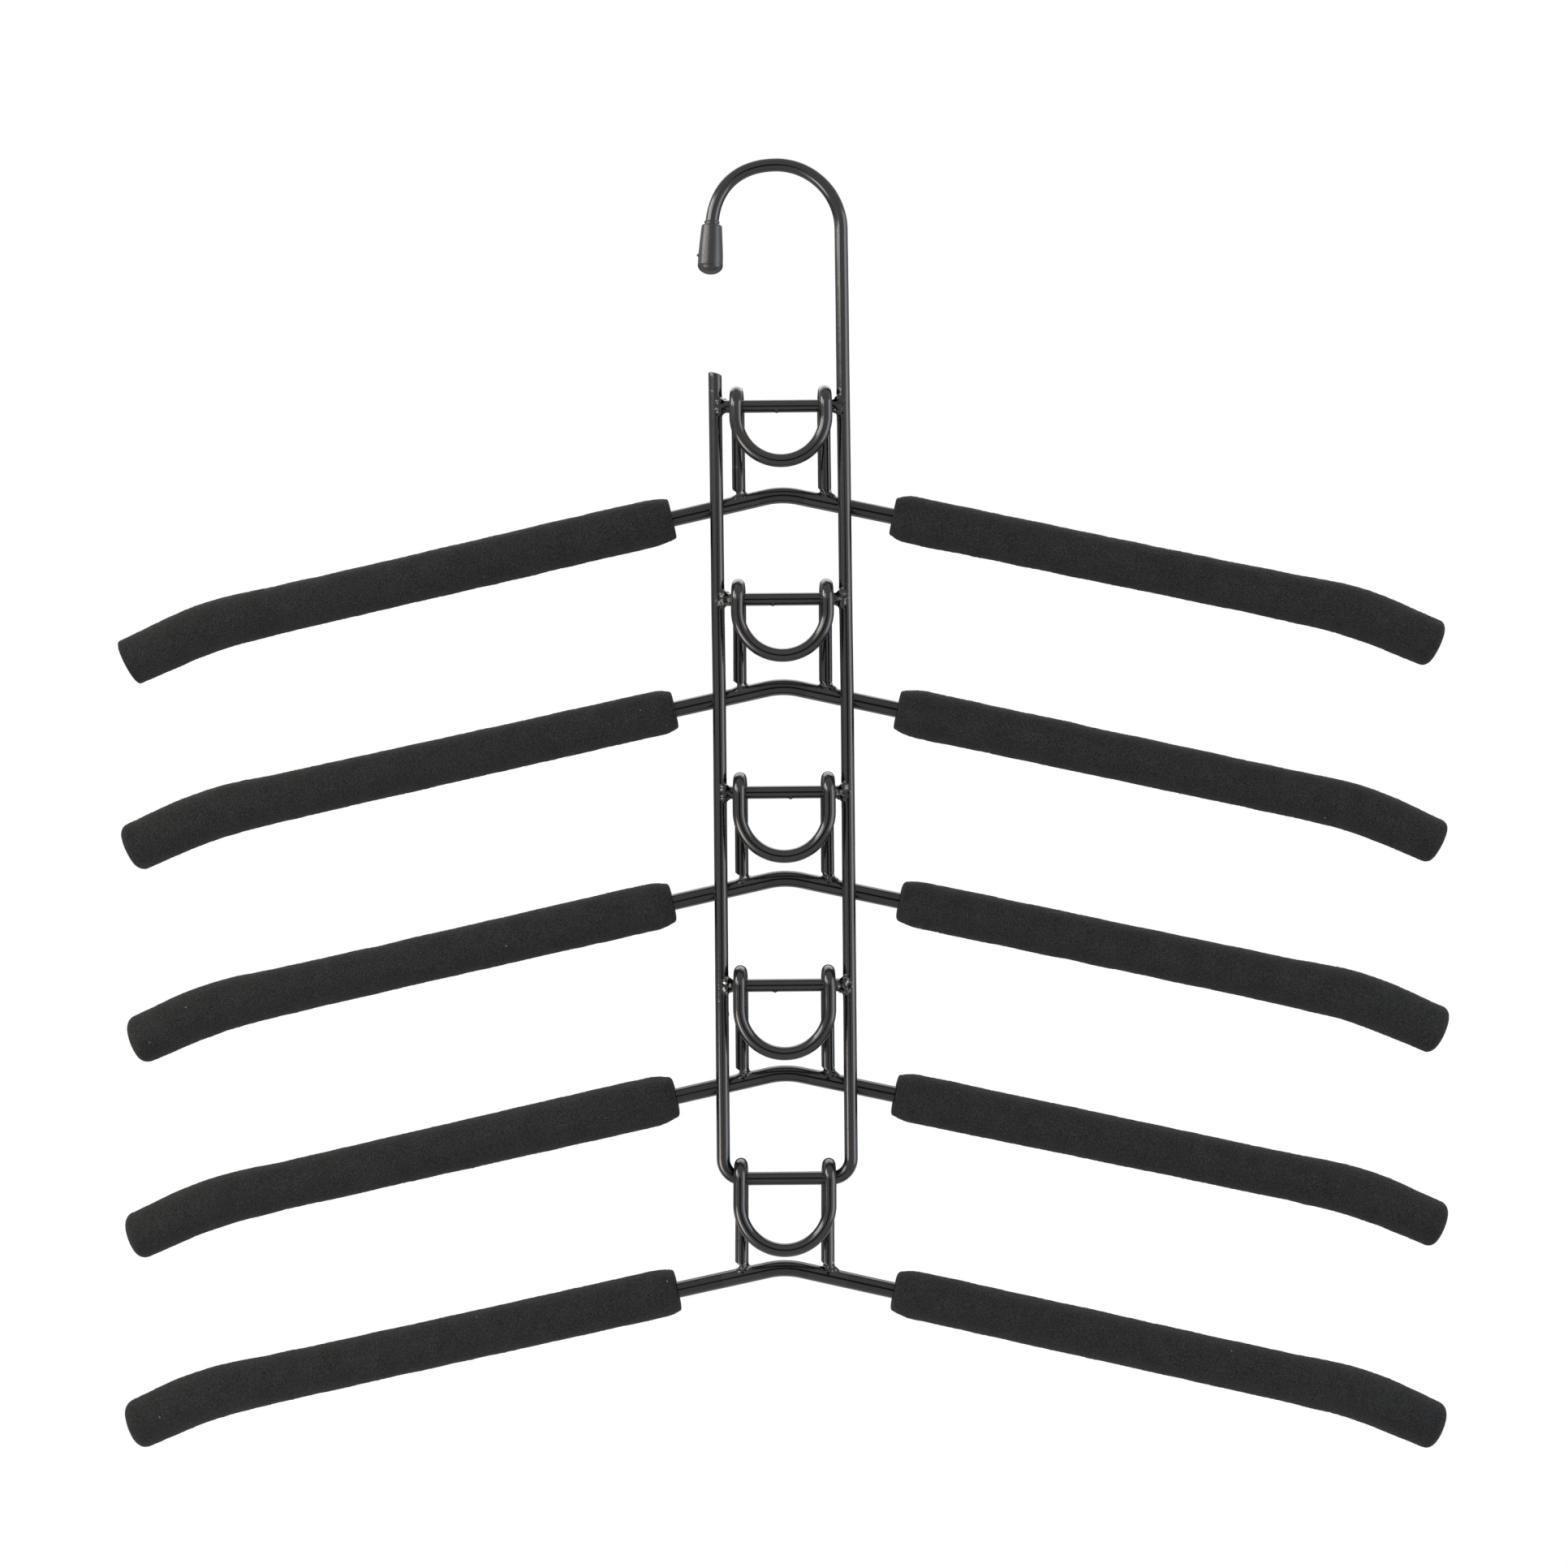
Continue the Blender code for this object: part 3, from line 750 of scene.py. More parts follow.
rung_enamel = enamel("dipped black enamel on the rungs", seed=2.0)
for number, z in enumerate(rung_z[:-1], start=1):
    chance = Random(RUNG_SEED + number)
    ends = [Vector((side * UPRIGHT_X, 0, z)) for side in (-1, 1)]
    shapes = [stub(*ends, [RUNG_RADIUS] * RUNG_RINGS)]
    for side in (-1, 1):
        low = Vector((side * UPRIGHT_X, 0, z - RUNG_STUB))
        high = Vector((side * UPRIGHT_X, 0, z + RUNG_STUB))
        shapes.append(stub(low, high, dipping_radii((high - low).length, ROD_RADIUS + COAT)))
        joint = Vector((side * (UPRIGHT_X - ROD_RADIUS), 0, z))
        shift = Vector((side * -BEAD_SUNK, 0, chance.uniform(-BEAD_WANDER, BEAD_WANDER)))
        sizes = [size * chance.uniform(*BEAD_VARIES) for size in BEAD]
        shapes.append(lump(joint + shift, sizes, chance.uniform(-BEAD_TURN, BEAD_TURN)))
        for up in (-1, 1):
            out, front, rise = (size * chance.uniform(*LOBE_VARIES) for size in LOBE_OFFSET)
            sizes = [size * chance.uniform(*LOBE_VARIES) for size in LOBE]
            place = joint + Vector((side * out, -front, up * rise))
            turn = side * up * LOBE_TURN * chance.uniform(*LOBE_TURN_VARIES)
            shapes.append(lump(place, sizes, turn))
        for _ in range(SPATTERS):
            turn = chance.uniform(0, math.tau)
            inward = -side * chance.uniform(*SPATTER_INWARD)
            depth, rise = SPATTER_RING
            place = joint + Vector((inward, depth * math.sin(turn), rise * math.cos(turn)))
            size = chance.uniform(*SPATTER_SIZE)
            shapes.append(lump(place, (size, size, size * SPATTER_STRETCH)))
    drip = Vector((chance.uniform(-DRIP_WANDER, DRIP_WANDER), -DRIP_FRONT, z - RUNG_RADIUS + DRIP_SUNK))
    shapes.append(lump(drip, DRIP))
    rung_mesh = fused_mesh(f"rung_{number}_enamelled", shapes, rung_enamel, RUNG_FILLET)
    welds = [(side * (UPRIGHT_X - ROD_RADIUS), -WELD_FRONT, z) for side in (-1, 1)]
    ripple_welds(rung_mesh, zip(welds, WELD_SHINE[number - 1]), WELD_REACH)
    lean_mesh(rung_mesh)
    finished_piece(f"rung_{number}_enamelled", rung_mesh, "frame", f"rung_{number}")


# The hook's cap: dark grey rubber, moulded in one piece and pushed over the rod's tip, so that rails
# aren't scratched. It has a thin lip, a skirt that widens, a blunt dome and the stub of its gate.
CAP_LENGTH = 0.0168
CAP_WALL = 0.0024
CAP_BORE_GAP = 0.00008
CAP_BORE_STEPS = 12
CAP_MOUTH_EDGE = 0.0001
CAP_LIP_RADIUS = 0.00242
CAP_LIP_LENGTH = 0.0013
CAP_LIP = (
    # distance from the mouth, and how far the skin lies inside the lip's radius there
    (0.0, 0.0002),
    (0.00008, 0.00005),
    (0.0003, 0.0),
    (0.0006, 0.00006),
    (0.0011, 0.0001),
    (CAP_LIP_LENGTH, 0.0),
)
CAP_SHOULDER = 0.0004
CAP_SHOULDER_STEPS = 5
CAP_SKIRT_START = 0.0006
CAP_SKIRT_STEPS = 50
CAP_RADII = (
    # distance from the mouth, and the skirt's radius there
    (0.0013, 0.00322),
    (0.0040, 0.00342),
    (0.0080, 0.00372),
    (0.0110, 0.0039),
    (0.0141, 0.00397),
)
CAP_DOME_LENGTH = 0.0031
CAP_DOME_STEPS = 16
# distance past the skirt, and how far the mould's seam stands out there
CAP_SEAM = ((0.00015, 0.00005), (0.0003, -0.00002))
CAP_PIP_DISTANCE = 0.0107
CAP_PIP_OUT = 0.0039
CAP_PIP_SIZE = 0.0006
CAP_PIP_HEIGHT = 0.00055
CAP_SIDES = 96
CAP_RIPPLE = (0.00006, 0.004)
CAP_SEED = 8.0
RUBBER_DARK = "121312"
RUBBER_PALE = "1b1b1a"
RUBBER_WORN = "5c5c5a"
RUBBER_BLOOM = 0.003
RUBBER_GRAIN = 0.0003
RUBBER_SCUFF = 0.0007
# a noise from and to, and how much of the pale or worn colour it shows there
BLOOM_RANGE = (0.14, 0.38, 0.0, 1.0)
SCUFF_RANGE = (0.66, 0.74, 0.0, 0.5)
RUBBER_ROUGHNESS = (0.30, 0.40)
RUBBER_RELIEF = {"Distance": 0.00006, "Strength": 0.2}
RUBBER_IOR = 1.52


def moulded_rubber(name):
    """Moulded rubber: satin from a blasted mould, with fine grain, a bloom and a few pale scuffs."""
    finish, tree = blank_material(name)
    place = add_node(tree, "ShaderNodeTexCoord").outputs["Object"]
    bloom, grain, scuffs = (
        add_node(
            tree, "ShaderNodeTexNoise", {"Vector": place, "Scale": 1 / length, "Detail": detail}
        ).outputs[0]
        for length, detail in ((RUBBER_BLOOM, 4.0), (RUBBER_GRAIN, 3.0), (RUBBER_SCUFF, 2.0))
    )
    mixed = add_node(tree, "ShaderNodeMath", {0: bloom, 1: grain}, operation="MULTIPLY").outputs[0]
    colour = layered_colour(
        tree,
        RUBBER_DARK,
        (mixed, BLOOM_RANGE, RUBBER_PALE),
        (scuffs, SCUFF_RANGE, RUBBER_WORN),
    )
    rough = add_node(
        tree, "ShaderNodeMapRange", dict(enumerate((grain, *NOISE_RANGE, *RUBBER_ROUGHNESS)))
    )
    bump = add_node(tree, "ShaderNodeBump", {"Height": grain, **RUBBER_RELIEF})
    shader = add_node(
        tree,
        "ShaderNodeBsdfPrincipled",
        {
            "Base Color": colour,
            "Roughness": rough.outputs[0],
            "IOR": RUBBER_IOR,
            "Normal": bump.outputs[0],
        },
    )
    add_node(tree, "ShaderNodeOutputMaterial", {"Surface": shader.outputs[0]})
    return finish


def between(stations, along):
    """A value that runs straight from station to station."""
    for (near, low), (far, high) in zip(stations, stations[1:]):
        if along <= far:
            share = max(0.0, (along - near) / (far - near))
            return low + (high - low) * share
    return stations[-1][1]


def cap_outline():
    """From the blind end of the bore out to the mouth, over the lip and shoulder, and down to the dome."""
    bore = ROD_RADIUS + CAP_BORE_GAP
    bottom = CAP_LENGTH - CAP_WALL
    outline = [(bottom, 0), (bottom, bore)]
    outline += [(bottom * (1 - part / CAP_BORE_STEPS), bore) for part in range(1, CAP_BORE_STEPS)]
    outline += [(0, bore), (0, bore + CAP_MOUTH_EDGE)]
    outline += [(along, CAP_LIP_RADIUS - inside) for along, inside in CAP_LIP]
    shoulder = CAP_RADII[0][1]
    for part in range(CAP_SHOULDER_STEPS + 1):
        turn = math.pi / 2 * part / CAP_SHOULDER_STEPS
        along = CAP_LIP_LENGTH + CAP_SHOULDER * (1 - math.cos(turn))
        outline.append((along, shoulder - CAP_SHOULDER * (1 - math.sin(turn))))
    dome = CAP_LENGTH - CAP_DOME_LENGTH
    skirt = CAP_LIP_LENGTH + CAP_SKIRT_START
    for part in range(CAP_SKIRT_STEPS + 1):
        along = skirt + (dome - skirt) * part / CAP_SKIRT_STEPS
        outline.append((along, between(CAP_RADII, along)))
    widest = CAP_RADII[-1][1]
    outline += [(dome + along, widest + out) for along, out in CAP_SEAM]
    seam_end = CAP_SEAM[-1][0]
    for part in range(1, CAP_DOME_STEPS):
        turn = math.pi / 2 * part / CAP_DOME_STEPS
        rise = seam_end + (CAP_DOME_LENGTH - seam_end) * math.sin(turn)
        outline.append((dome + rise, widest * math.cos(turn)))
    outline.append((CAP_LENGTH, 0))
    return [(along, wide, 0) for along, wide in outline]


mouth_run = CAP_LENGTH - CAP_WALL - (tail_tip - tail_top).length
cap_path = [tail_top - mouth_run * tail_way, tail_tip + CAP_WALL * tail_way]
cap_mesh = skin_mesh(
    "hook_tip_cap_moulded",
    cap_path,
    cap_outline(),
    CAP_SIDES,
    moulded_rubber("moulded dark grey rubber"),
    CAP_SEED,
    CAP_RIPPLE,
)
cap_points = mesh_points(cap_mesh)
pip_run = CAP_PIP_DISTANCE - mouth_run
pip = tail_top + pip_run * tail_way + Vector((-CAP_PIP_OUT, 0, 0))
from_pip = np.linalg.norm(cap_points - np.array(pip), axis=1) / CAP_PIP_SIZE
cap_points[:, 0] -= CAP_PIP_HEIGHT * np.clip(1 - from_pip**2, 0, 1) ** 1.5
move_points(cap_mesh, cap_points)
lean_mesh(cap_mesh)
finished_piece("hook_tip_cap_moulded", cap_mesh, "frame", "hook_tip_cap", slot="cap_rubber")


# The double hooks: for each arm one 4 mm wire that rises behind the rung, curls over it, makes a round
# loop in front and goes back. Its two sheared ends are welded on top of the arm wire, and all is dipped.
ARM_WIRE_RADIUS = 0.0025
SEAT_GAP = 0.0003
ARM_Y = ROD_RADIUS + SEAT_GAP + ARM_WIRE_RADIUS
LEG_X = 0.0136
LOOP_X = 0.0141
LOOP_DROPS = (0.0177, 0.0179, 0.0201, 0.0211, 0.0221)
ARCH_DROP = 0.0284
ARM_SETTING = (
    # lift, turn in the picture's plane with the right end down, and shift to the right of each layer
    (0.00075, math.radians(-0.22), 0.0),
    (0.00080, math.radians(0.19), 0.0),
    (0.00095, math.radians(-0.02), 0.0),
    (0.00010, math.radians(-0.02), -0.0004),
    (0.0, math.radians(0.52), -0.0008),
)
ARCH_BEND = 0.0250
ARM_SLOPE = math.radians(12.3)
ARM_STRAIGHT = 0.1696
OUTER_BEND = 0.1100
TIP_SLOPE = math.radians(24.0)
ARCH_LENGTH = ARCH_BEND * ARM_SLOPE
FREE_HANG = math.radians(-5.2231)
CURL_STEPS = 24
LOOP_STEPS = 64
HOOK_STATION_STEP = 0.0006
HOOK_RIPPLE = (0.00005, 0.006)
HOOK_SEED = 10.0
LEG_SEED = 100
LEG_STUB = 0.0105
LEG_SKIN_LIFT = 0.0034
LEG_CUT_LIFT = 0.0004
LEG_CUT_SLANT = -0.72
LEG_CUT_VARIES = (0.85, 1.15)
LEG_FILLET = 0.0004
# each lump's place from the arm's top under the leg, and its half sizes
LEG_COLLAR = ((0.00075, 0, 0.0006), (0.0013, 0.0015, 0.0024))
LEG_TOE = ((0.0015, 0, -0.0002), (0.0021, 0.0018, 0.0009))
LEG_ROOT = ((0, -0.0001, -0.0012), (0.0026, 0.00235, 0.0015))
LEG_TOE_TURN = 0.3
LEG_ROOT_WANDER = 0.0004
LEG_WELD_PLACE = (0.0016, -0.0008, 0.0002)
LEG_WELD_REACH = 0.0022
LEG_WELD_SHINE = 0.6
ARM_STUB = 0.0078


def arm_point(distance):
    """A point of the right half of an arm's centre line, by its distance from the arch's top."""
    turned = min(distance, ARCH_LENGTH) / ARCH_BEND
    place = ARCH_BEND * Vector((math.sin(turned), 0, math.cos(turned) - 1))
    straight = min(max(distance - ARCH_LENGTH, 0), ARM_STRAIGHT)
    place += straight * Vector((math.cos(ARM_SLOPE), 0, -math.sin(ARM_SLOPE)))
    beyond = distance - ARCH_LENGTH - ARM_STRAIGHT
    bent = min(max(beyond, 0), OUTER_BEND * (TIP_SLOPE - ARM_SLOPE))
    slope = ARM_SLOPE + bent / OUTER_BEND
    place += OUTER_BEND * Vector(
        (math.sin(slope) - math.sin(ARM_SLOPE), 0, math.cos(slope) - math.cos(ARM_SLOPE))
    )
    last = max(beyond - bent, 0)
    return place + last * Vector((math.cos(TIP_SLOPE), 0, -math.sin(TIP_SLOPE)))


def arch_drop(layer):
    return ARCH_DROP - ARM_SETTING[layer - 1][0]


def leg_seat(layer):
    """Height of the arm wire's centre line under a leg, about the rung's axis."""
    slope_start = arm_point(ARCH_LENGTH)
    return slope_start.z - (LEG_X - slope_start.x) * math.tan(ARM_SLOPE) - arch_drop(layer)


def arm_placing(layer):
    """Where an arm hangs: from its rung's axis, hardly level, and the lowest one swung by its weight."""
    _, tilt, shift = ARM_SETTING[layer - 1]
    turn = FREE_HANG if layer == len(rung_z) else 0.0
    place = Matrix.Translation((shift, 0, rung_z[layer - 1]))
    return place @ Matrix.Rotation(turn, 4, "X") @ Matrix.Rotation(tilt, 4, "Y")


def arm_place(distance, side, layer):
    """A point of the left or right half of a layer's centre line, where that arm hangs."""
    point = arm_point(distance)
    return arm_placing(layer) @ Vector((side * point.x, ARM_Y, point.z - arch_drop(layer)))


def double_hook_path(leg_end, loop_drop):
    """A leg, over the rung, the front loop, and back to the other leg, about the rung's axis."""
    curl_z = 2 * ROD_RADIUS + SEAT_GAP - ARM_Y
    side = [Vector((-LEG_X, ARM_Y, leg_end))]
    for step in range(CURL_STEPS + 1):
        over = math.pi * step / CURL_STEPS
        x = LEG_X + (LOOP_X - LEG_X) * step / CURL_STEPS
        side.append(Vector((-x, ARM_Y * math.cos(over), curl_z + ARM_Y * math.sin(over))))
    loop = arc(Vector((0, -ARM_Y, LOOP_X - loop_drop)), LOOP_X, -math.pi, 0, LOOP_STEPS)
    return side + loop + [Vector((-point.x, point.y, point.z)) for point in reversed(side)]


def leg_weld(side, layer, chance, finish, name):
    """One leg's end on the arm wire: cut at a slant, necked on its left, run smooth on its right."""
    arm_top = leg_seat(layer) + ARM_WIRE_RADIUS
    foot = Vector((side * LEG_X, ARM_Y, arm_top + LEG_CUT_LIFT))
    head = Vector((side * LEG_X, ARM_Y, arm_top + LEG_STUB))
    leg = stub(
        foot,
        head,
        dipping_radii(LEG_STUB - LEG_CUT_LIFT, ROD_RADIUS + COAT, taper_start=False),
        LEG_CUT_SLANT * chance.uniform(*LEG_CUT_VARIES),
    )
    centre = Vector((side * LEG_X, ARM_Y, leg_seat(layer)))
    reach = ARM_STUB * Vector((math.cos(ARM_SLOPE), 0, -side * math.sin(ARM_SLOPE)))
    arm = stub(centre - reach, centre + reach, dipping_radii(2 * ARM_STUB, ARM_WIRE_RADIUS + COAT))
    top = Vector((side * LEG_X, ARM_Y, arm_top))
    root_place = Vector(LEG_ROOT[0])
    root_place.x += chance.uniform(-LEG_ROOT_WANDER, LEG_ROOT_WANDER)
    shapes = [
        leg,
        arm,
        lump(top + Vector(LEG_COLLAR[0]), LEG_COLLAR[1]),
        lump(top + Vector(LEG_TOE[0]), LEG_TOE[1], LEG_TOE_TURN),
        lump(top + root_place, LEG_ROOT[1]),
    ]
    mesh = fused_mesh(name, shapes, finish, LEG_FILLET)
    ripple_welds(mesh, [(top + Vector(LEG_WELD_PLACE), LEG_WELD_SHINE)], LEG_WELD_REACH)
    return mesh


hook_enamel = enamel("dipped black enamel on the double hooks", seed=3.0)
for layer in range(1, len(rung_z) + 1):
    placing = arm_placing(layer)
    skin_end = leg_seat(layer) + ARM_WIRE_RADIUS + LEG_SKIN_LIFT
    path = [placing @ point for point in double_hook_path(skin_end, LOOP_DROPS[layer - 1])]
    mesh = skin_mesh(
        f"double_hook_{layer}_enamelled",
        path,
        wire_outline(path_length(path), ROD_RADIUS + COAT, HOOK_STATION_STEP),
        WIRE_SIDES,
        hook_enamel,
        HOOK_SEED + layer,
        HOOK_RIPPLE,
    )
    finished_piece(f"double_hook_{layer}_enamelled", mesh, f"arm_{layer}", f"double_hook_{layer}")
    for side, word in ((-1, "left"), (1, "right")):
        name = f"leg_weld_{word}_{layer}"
        weld = leg_weld(side, layer, Random(LEG_SEED * layer + side), hook_enamel, name)
        weld.transform(placing)
        finished_piece(name, weld, f"arm_{layer}", f"double_hook_{layer}")


# The arm wires: one 5 mm steel wire for each layer, pressed to an arch in the middle, straight down both
# sides and bent steeper near its ends, with the same black enamel. The foam hides most of it.
ARM_WIRE_REACH = 0.2080
ARM_WIRE_STEPS = 260
ARM_WIRE_RIPPLE = (0.00006, 0.008)
ARM_WIRE_SEED = 20.0
ARM_ENAMEL_IOR = 1.46

wire_enamel = enamel("dipped black enamel on the arm wires", 4.0, ARM_ENAMEL_IOR)
for layer in range(1, len(rung_z) + 1):
    distances = [ARM_WIRE_REACH * step / ARM_WIRE_STEPS for step in range(ARM_WIRE_STEPS + 1)]
    path = [arm_place(distance, -1, layer) for distance in reversed(distances[1:])]
    path += [arm_place(distance, 1, layer) for distance in distances]
    mesh = skin_mesh(
        f"arm_wire_{layer}_enamelled",
        path,
        wire_outline(path_length(path), ARM_WIRE_RADIUS + COAT),
        WIRE_SIDES,
        wire_enamel,
        ARM_WIRE_SEED + layer,
        ARM_WIRE_RIPPLE,
    )
    finished_piece(f"arm_wire_{layer}_enamelled", mesh, f"arm_{layer}", f"arm_wire_{layer}")


# The foam sleeves: closed-cell foam rubber tube, extruded and cut to length with a knife, pushed over the
# arm wires. Its skin is matt and pricked with tiny cells, its cut ends pull in, and no two are alike.
SLEEVES = {
    # layer and side: start and end along the arm; width near the arch, in the middle and near the tip;
    # the tip's corner radius and how far its cut leans back towards the underside
    (1, -1): (0.0355, 0.2147, 0.01500, 0.01485, 0.01513, 0.0009, 0.025),
    (1, 1): (0.0358, 0.2139, 0.01490, 0.01465, 0.01532, 0.0028, 0.01),
    (2, -1): (0.0350, 0.2144, 0.01400, 0.01470, 0.01547, 0.0030, 0.0),
    (2, 1): (0.0370, 0.2147, 0.01525, 0.01475, 0.01448, 0.0024, 0.03),
    (3, -1): (0.0363, 0.2137, 0.01495, 0.01465, 0.01540, 0.0036, -0.05),
    (3, 1): (0.0370, 0.2144, 0.01480, 0.01478, 0.01548, 0.0026, 0.0),
    (4, -1): (0.0354, 0.2145, 0.01580, 0.01520, 0.01485, 0.0032, -0.05),
    (4, 1): (0.0354, 0.2142, 0.01540, 0.01480, 0.01472, 0.0028, -0.02),
    (5, -1): (0.0346, 0.2122, 0.01490, 0.01465, 0.01540, 0.0036, -0.03),
    (5, 1): (0.0352, 0.2126, 0.01507, 0.01505, 0.01515, 0.0032, 0.0),
}
SLEEVE_BORE_GAP = 0.00005
SLEEVE_BORE_END = 0.2090
SLEEVE_BORE_STEP = 0.004
SLEEVE_REACH = 0.22
SLEEVE_PATH_STEPS = 300
SLEEVE_STEP = 0.0005
SLEEVE_SIDES = 96
SLEEVE_STATIONS = (0.05, 0.5, 0.95)
# height and length of the sleeve's unevenness and of its grain
SLEEVE_RIPPLE = (0.0006, 0.009)
SLEEVE_GRAIN = (0.0004, 0.0009)
SLEEVE_SEED = 30.0
SLEEVE_CUT_SEED = 500
MOUTH_SHARE = 0.865
MOUTH_SHARE_VARIES = (-0.04, 0.03)
MOUTH_RUN = 0.0070
MOUTH_RUN_VARIES = (0.7, 1.2)
MOUTH_FLARE = 2.2
MOUTH_CORNER = 0.0012
MOUTH_CORNER_VARIES = (0.6, 1.5)
MOUTH_CORNER_STEPS = 4
MOUTH_CUP = 0.0003
MOUTH_RIM = 0.0002
MOUTH_FACE_SHARES = (0.2, 0.4, 0.6, 0.8, 1.0)
TIP_BULGE = 0.0003
TIP_CORNER_STEPS = 8
TIP_FACE_SHARES = (0.85, 0.7, 0.5, 0.3, 0.12, 0.0)
TIP_REACH = 0.0090
BEND_MIDDLE = 0.186
BEND_REACH = 0.022
BEND_SWELL = 0.045
FOAM_DARK = "101010"
FOAM_PALE = "3a3b3b"
FOAM_SPECK = "8f8f8c"
FOAM_SHEEN = "b9a893"
FOAM_GRAIN = 0.0004
FOAM_PATCH = 0.006
FOAM_CELL = 0.0007
FOAM_DUST = 0.004
FOAM_PATCH_SHARE = 0.15
# a noise, or the distance from a speck's middle, from and to, and how much of its colour shows there
FOAM_TONE_RANGE = (0.47, 0.88, 0.0, 1.0)
FOAM_SPECK_RANGE = (0.045, 0.075, 0.75, 0.0)
FOAM_RELIEF = {"Distance": 0.00012, "Strength": 0.8}


def foam_rubber(name, seed):
    """Black foam rubber: dull, warm at glancing angles, and grained by its cells.

    The real cells of 0.1 to 0.3 mm are drawn at 0.4 to 0.7 mm, so that they show. A few cells have caught
    pale dust.
    """
    finish, tree = blank_material(name)
    place = add_node(tree, "ShaderNodeTexCoord").outputs["Object"]
    grain, patches = (
        add_node(
            tree,
            "ShaderNodeTexNoise",
            {"Vector": place, "W": seed, "Scale": 1 / length, "Detail": detail, "Roughness": rough},
            noise_dimensions="4D",
        ).outputs[0]
        for length, detail, rough in ((FOAM_GRAIN, 2.0, 0.65), (FOAM_PATCH, 3.0, 0.5))
    )
    cells, dust = (
        add_node(
            tree,
            "ShaderNodeTexVoronoi",
            {"Vector": place, "W": seed, "Scale": 1 / length, "Randomness": 1.0},
            voronoi_dimensions="4D",
        ).outputs["Distance"]
        for length in (FOAM_CELL, FOAM_DUST)
    )
    mottle = {0: patches, 1: FOAM_PATCH_SHARE, 2: grain}
    both = add_node(tree, "ShaderNodeMath", mottle, operation="MULTIPLY_ADD").outputs[0]
    colour = layered_colour(
        tree,
        FOAM_DARK,
        (both, FOAM_TONE_RANGE, FOAM_PALE),
        (dust, FOAM_SPECK_RANGE, FOAM_SPECK),
    )
    relief = add_node(tree, "ShaderNodeMath", {0: grain, 1: cells}, operation="ADD")
    bump = add_node(tree, "ShaderNodeBump", {"Height": relief.outputs[0], **FOAM_RELIEF})
    shader = add_node(
        tree,
        "ShaderNodeBsdfPrincipled",
        {
            "Base Color": colour,
            "Roughness": 0.88,
            "IOR": 1.45,
            "Specular IOR Level": 0.2,
            "Sheen Weight": 0.03,
            "Sheen Roughness": 0.5,
            "Sheen Tint": linear(FOAM_SHEEN),
            "Normal": bump.outputs[0],
        },
    )
    add_node(tree, "ShaderNodeOutputMaterial", {"Surface": shader.outputs[0]})
    return finish


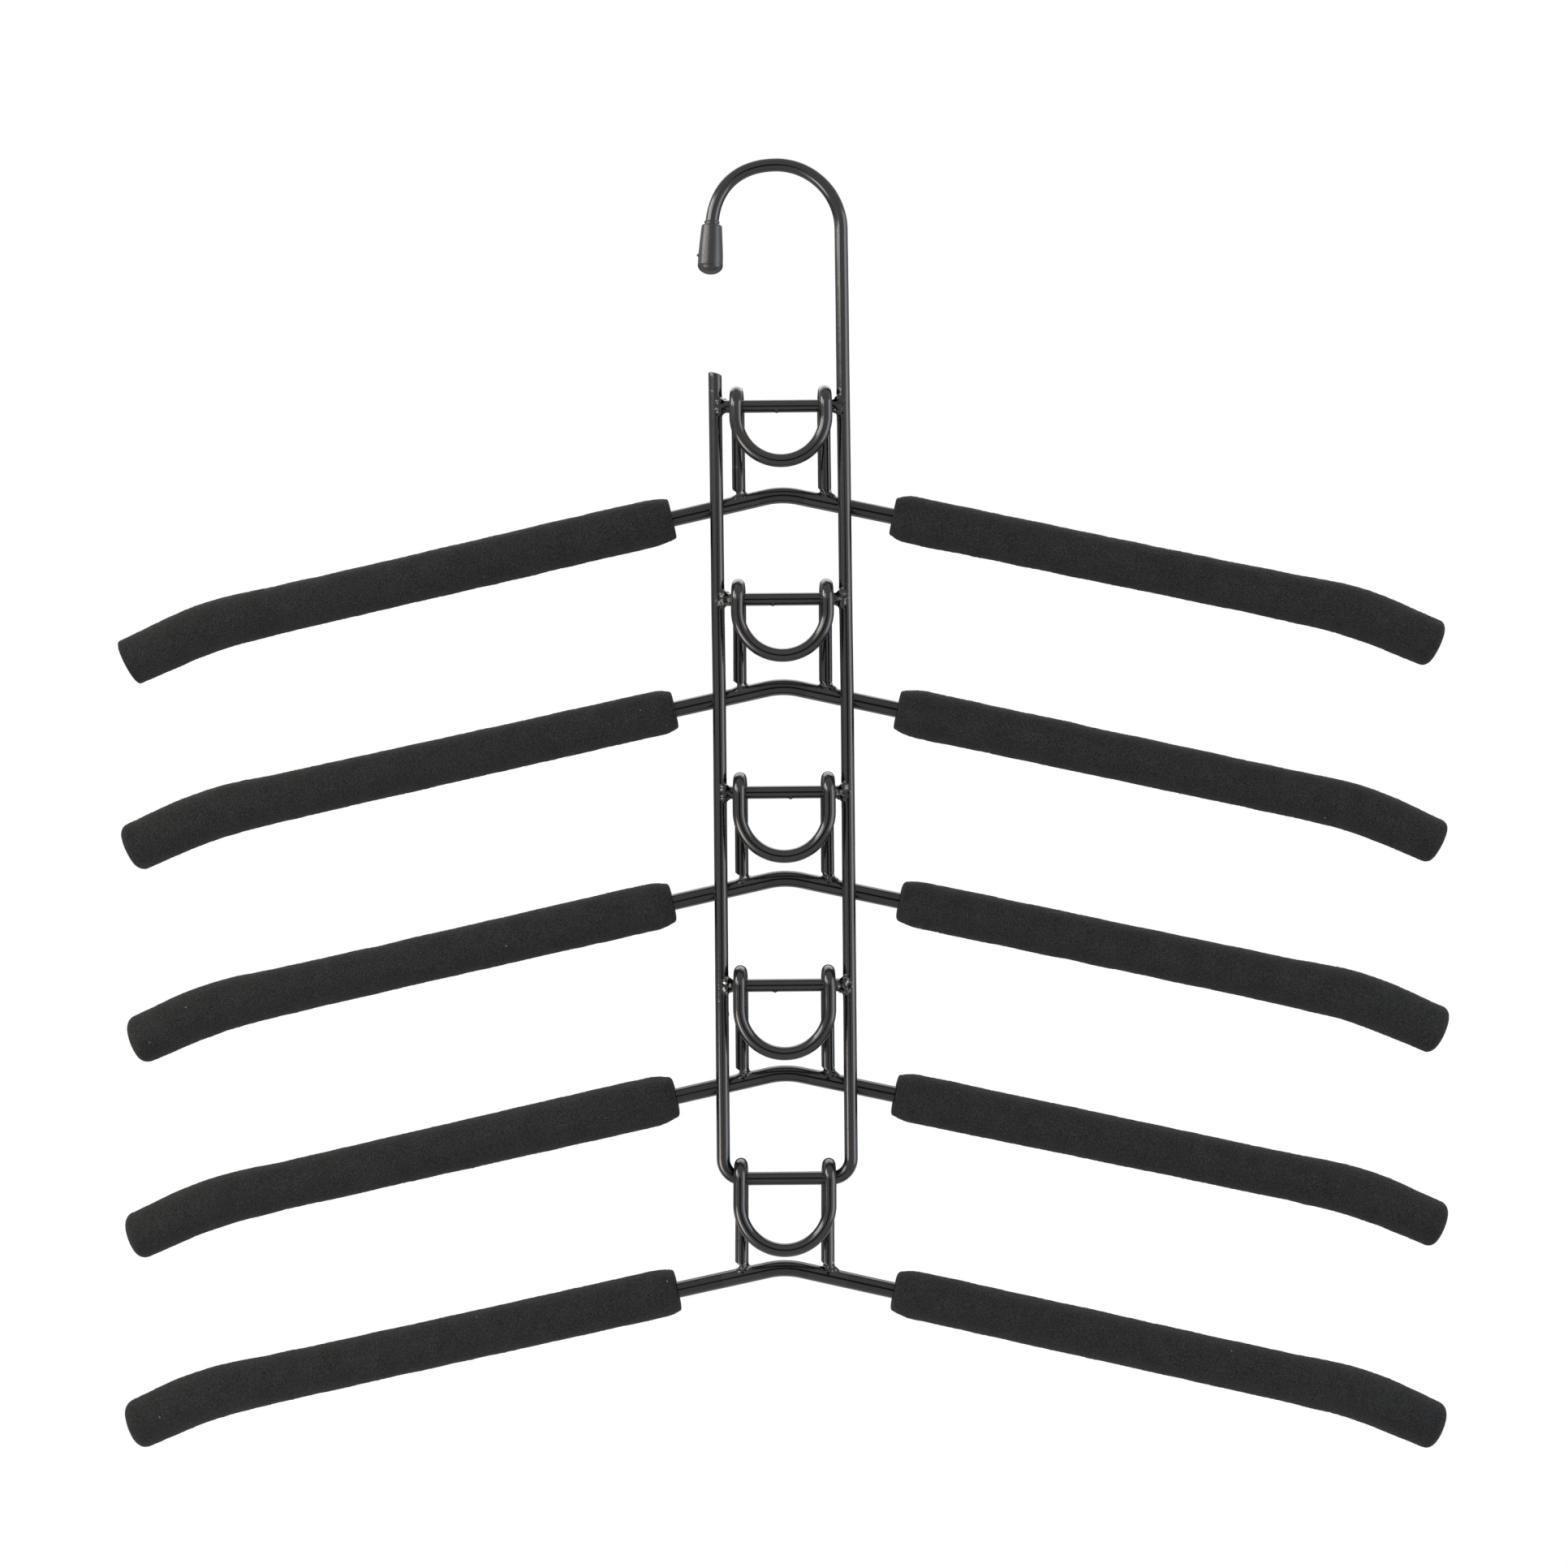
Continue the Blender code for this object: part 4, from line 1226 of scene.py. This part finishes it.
def sleeve_outline(start, end, widths, tip_corner, chance):
    """From the bore's blind end to the mouth, round the cut edge, along the skin and round the tip."""
    bore = ARM_WIRE_RADIUS + SLEEVE_BORE_GAP
    bore_length = SLEEVE_BORE_END - start
    halves = [width / 2 for width in widths]
    mouth_share = MOUTH_SHARE + chance.uniform(*MOUTH_SHARE_VARIES)
    mouth_run = MOUTH_RUN * chance.uniform(*MOUTH_RUN_VARIES)
    corner = MOUTH_CORNER * chance.uniform(*MOUTH_CORNER_VARIES)
    profile = [(SLEEVE_BORE_END, 0), (SLEEVE_BORE_END, bore)]
    steps = round(bore_length / SLEEVE_BORE_STEP)
    profile += [(SLEEVE_BORE_END - bore_length * part / steps, bore) for part in range(1, steps)]
    profile += [(start + 2 * MOUTH_CUP, bore), (start + MOUTH_CUP, bore + MOUTH_RIM)]
    face = halves[0] * mouth_share - corner
    for share in MOUTH_FACE_SHARES:
        wide = bore + MOUTH_RIM + (face - bore - MOUTH_RIM) * share
        profile.append((start + MOUTH_CUP * (1 - share), wide))
    for part in range(1, MOUTH_CORNER_STEPS + 1):
        turn = math.pi / 2 * part / MOUTH_CORNER_STEPS
        profile.append((start + corner * (1 - math.cos(turn)), face + corner * math.sin(turn)))
    body_start = start + corner
    body_end = end - TIP_BULGE - tip_corner
    steps = round((body_end - body_start) / SLEEVE_STEP)
    for part in range(1, steps + 1):
        along = body_start + (body_end - body_start) * part / steps
        share = (along - start) / (end - start)
        wide = between(list(zip(SLEEVE_STATIONS, halves)), share)
        near_bend = max(0.0, 1 - (abs(along - BEND_MIDDLE) / BEND_REACH) ** 2)
        wide *= 1 + BEND_SWELL * near_bend
        flare = 1 - min(1.0, (along - body_start) / mouth_run)
        profile.append((along, wide * (1 - (1 - mouth_share) * flare**MOUTH_FLARE)))
    face = halves[-1] - tip_corner
    for part in range(1, TIP_CORNER_STEPS + 1):
        turn = math.pi / 2 * part / TIP_CORNER_STEPS
        profile.append((body_end + tip_corner * math.sin(turn), face + tip_corner * math.cos(turn)))
    profile += [(end - TIP_BULGE * share**2, face * share) for share in TIP_FACE_SHARES]
    return [(along, wide, 0) for along, wide in profile]


foams = {
    -1: foam_rubber("black foam rubber left", seed=4.0),
    1: foam_rubber("black foam rubber right", seed=6.0),
}
for (layer, side), (start, end, *widths, tip_corner, tip_lean) in SLEEVES.items():
    word = "left" if side < 0 else "right"
    name = f"foam_sleeve_{word}_{layer}_skin"
    chance = Random(SLEEVE_CUT_SEED + 10 * layer + side)
    distances = [SLEEVE_REACH * step / SLEEVE_PATH_STEPS for step in range(SLEEVE_PATH_STEPS + 1)]
    path = [arm_place(distance, side, layer) for distance in distances]
    mesh = skin_mesh(
        name,
        path,
        sleeve_outline(start, end, widths, tip_corner, chance),
        SLEEVE_SIDES,
        foams[side],
        SLEEVE_SEED + 2 * layer + side,
        SLEEVE_RIPPLE,
        SLEEVE_GRAIN,
    )
    turned = arm_placing(layer).to_3x3()
    along = turned @ Vector((side * math.cos(TIP_SLOPE), 0, -math.sin(TIP_SLOPE)))
    upward = turned @ Vector((side * math.sin(TIP_SLOPE), 0, math.cos(TIP_SLOPE)))
    slant_end(mesh, arm_place(end, side, layer), along, upward, tip_lean, TIP_REACH)
    sleeve = finished_piece(name, mesh, f"arm_{layer}", f"foam_sleeve_{word}_{layer}", slot="foam_rubber")
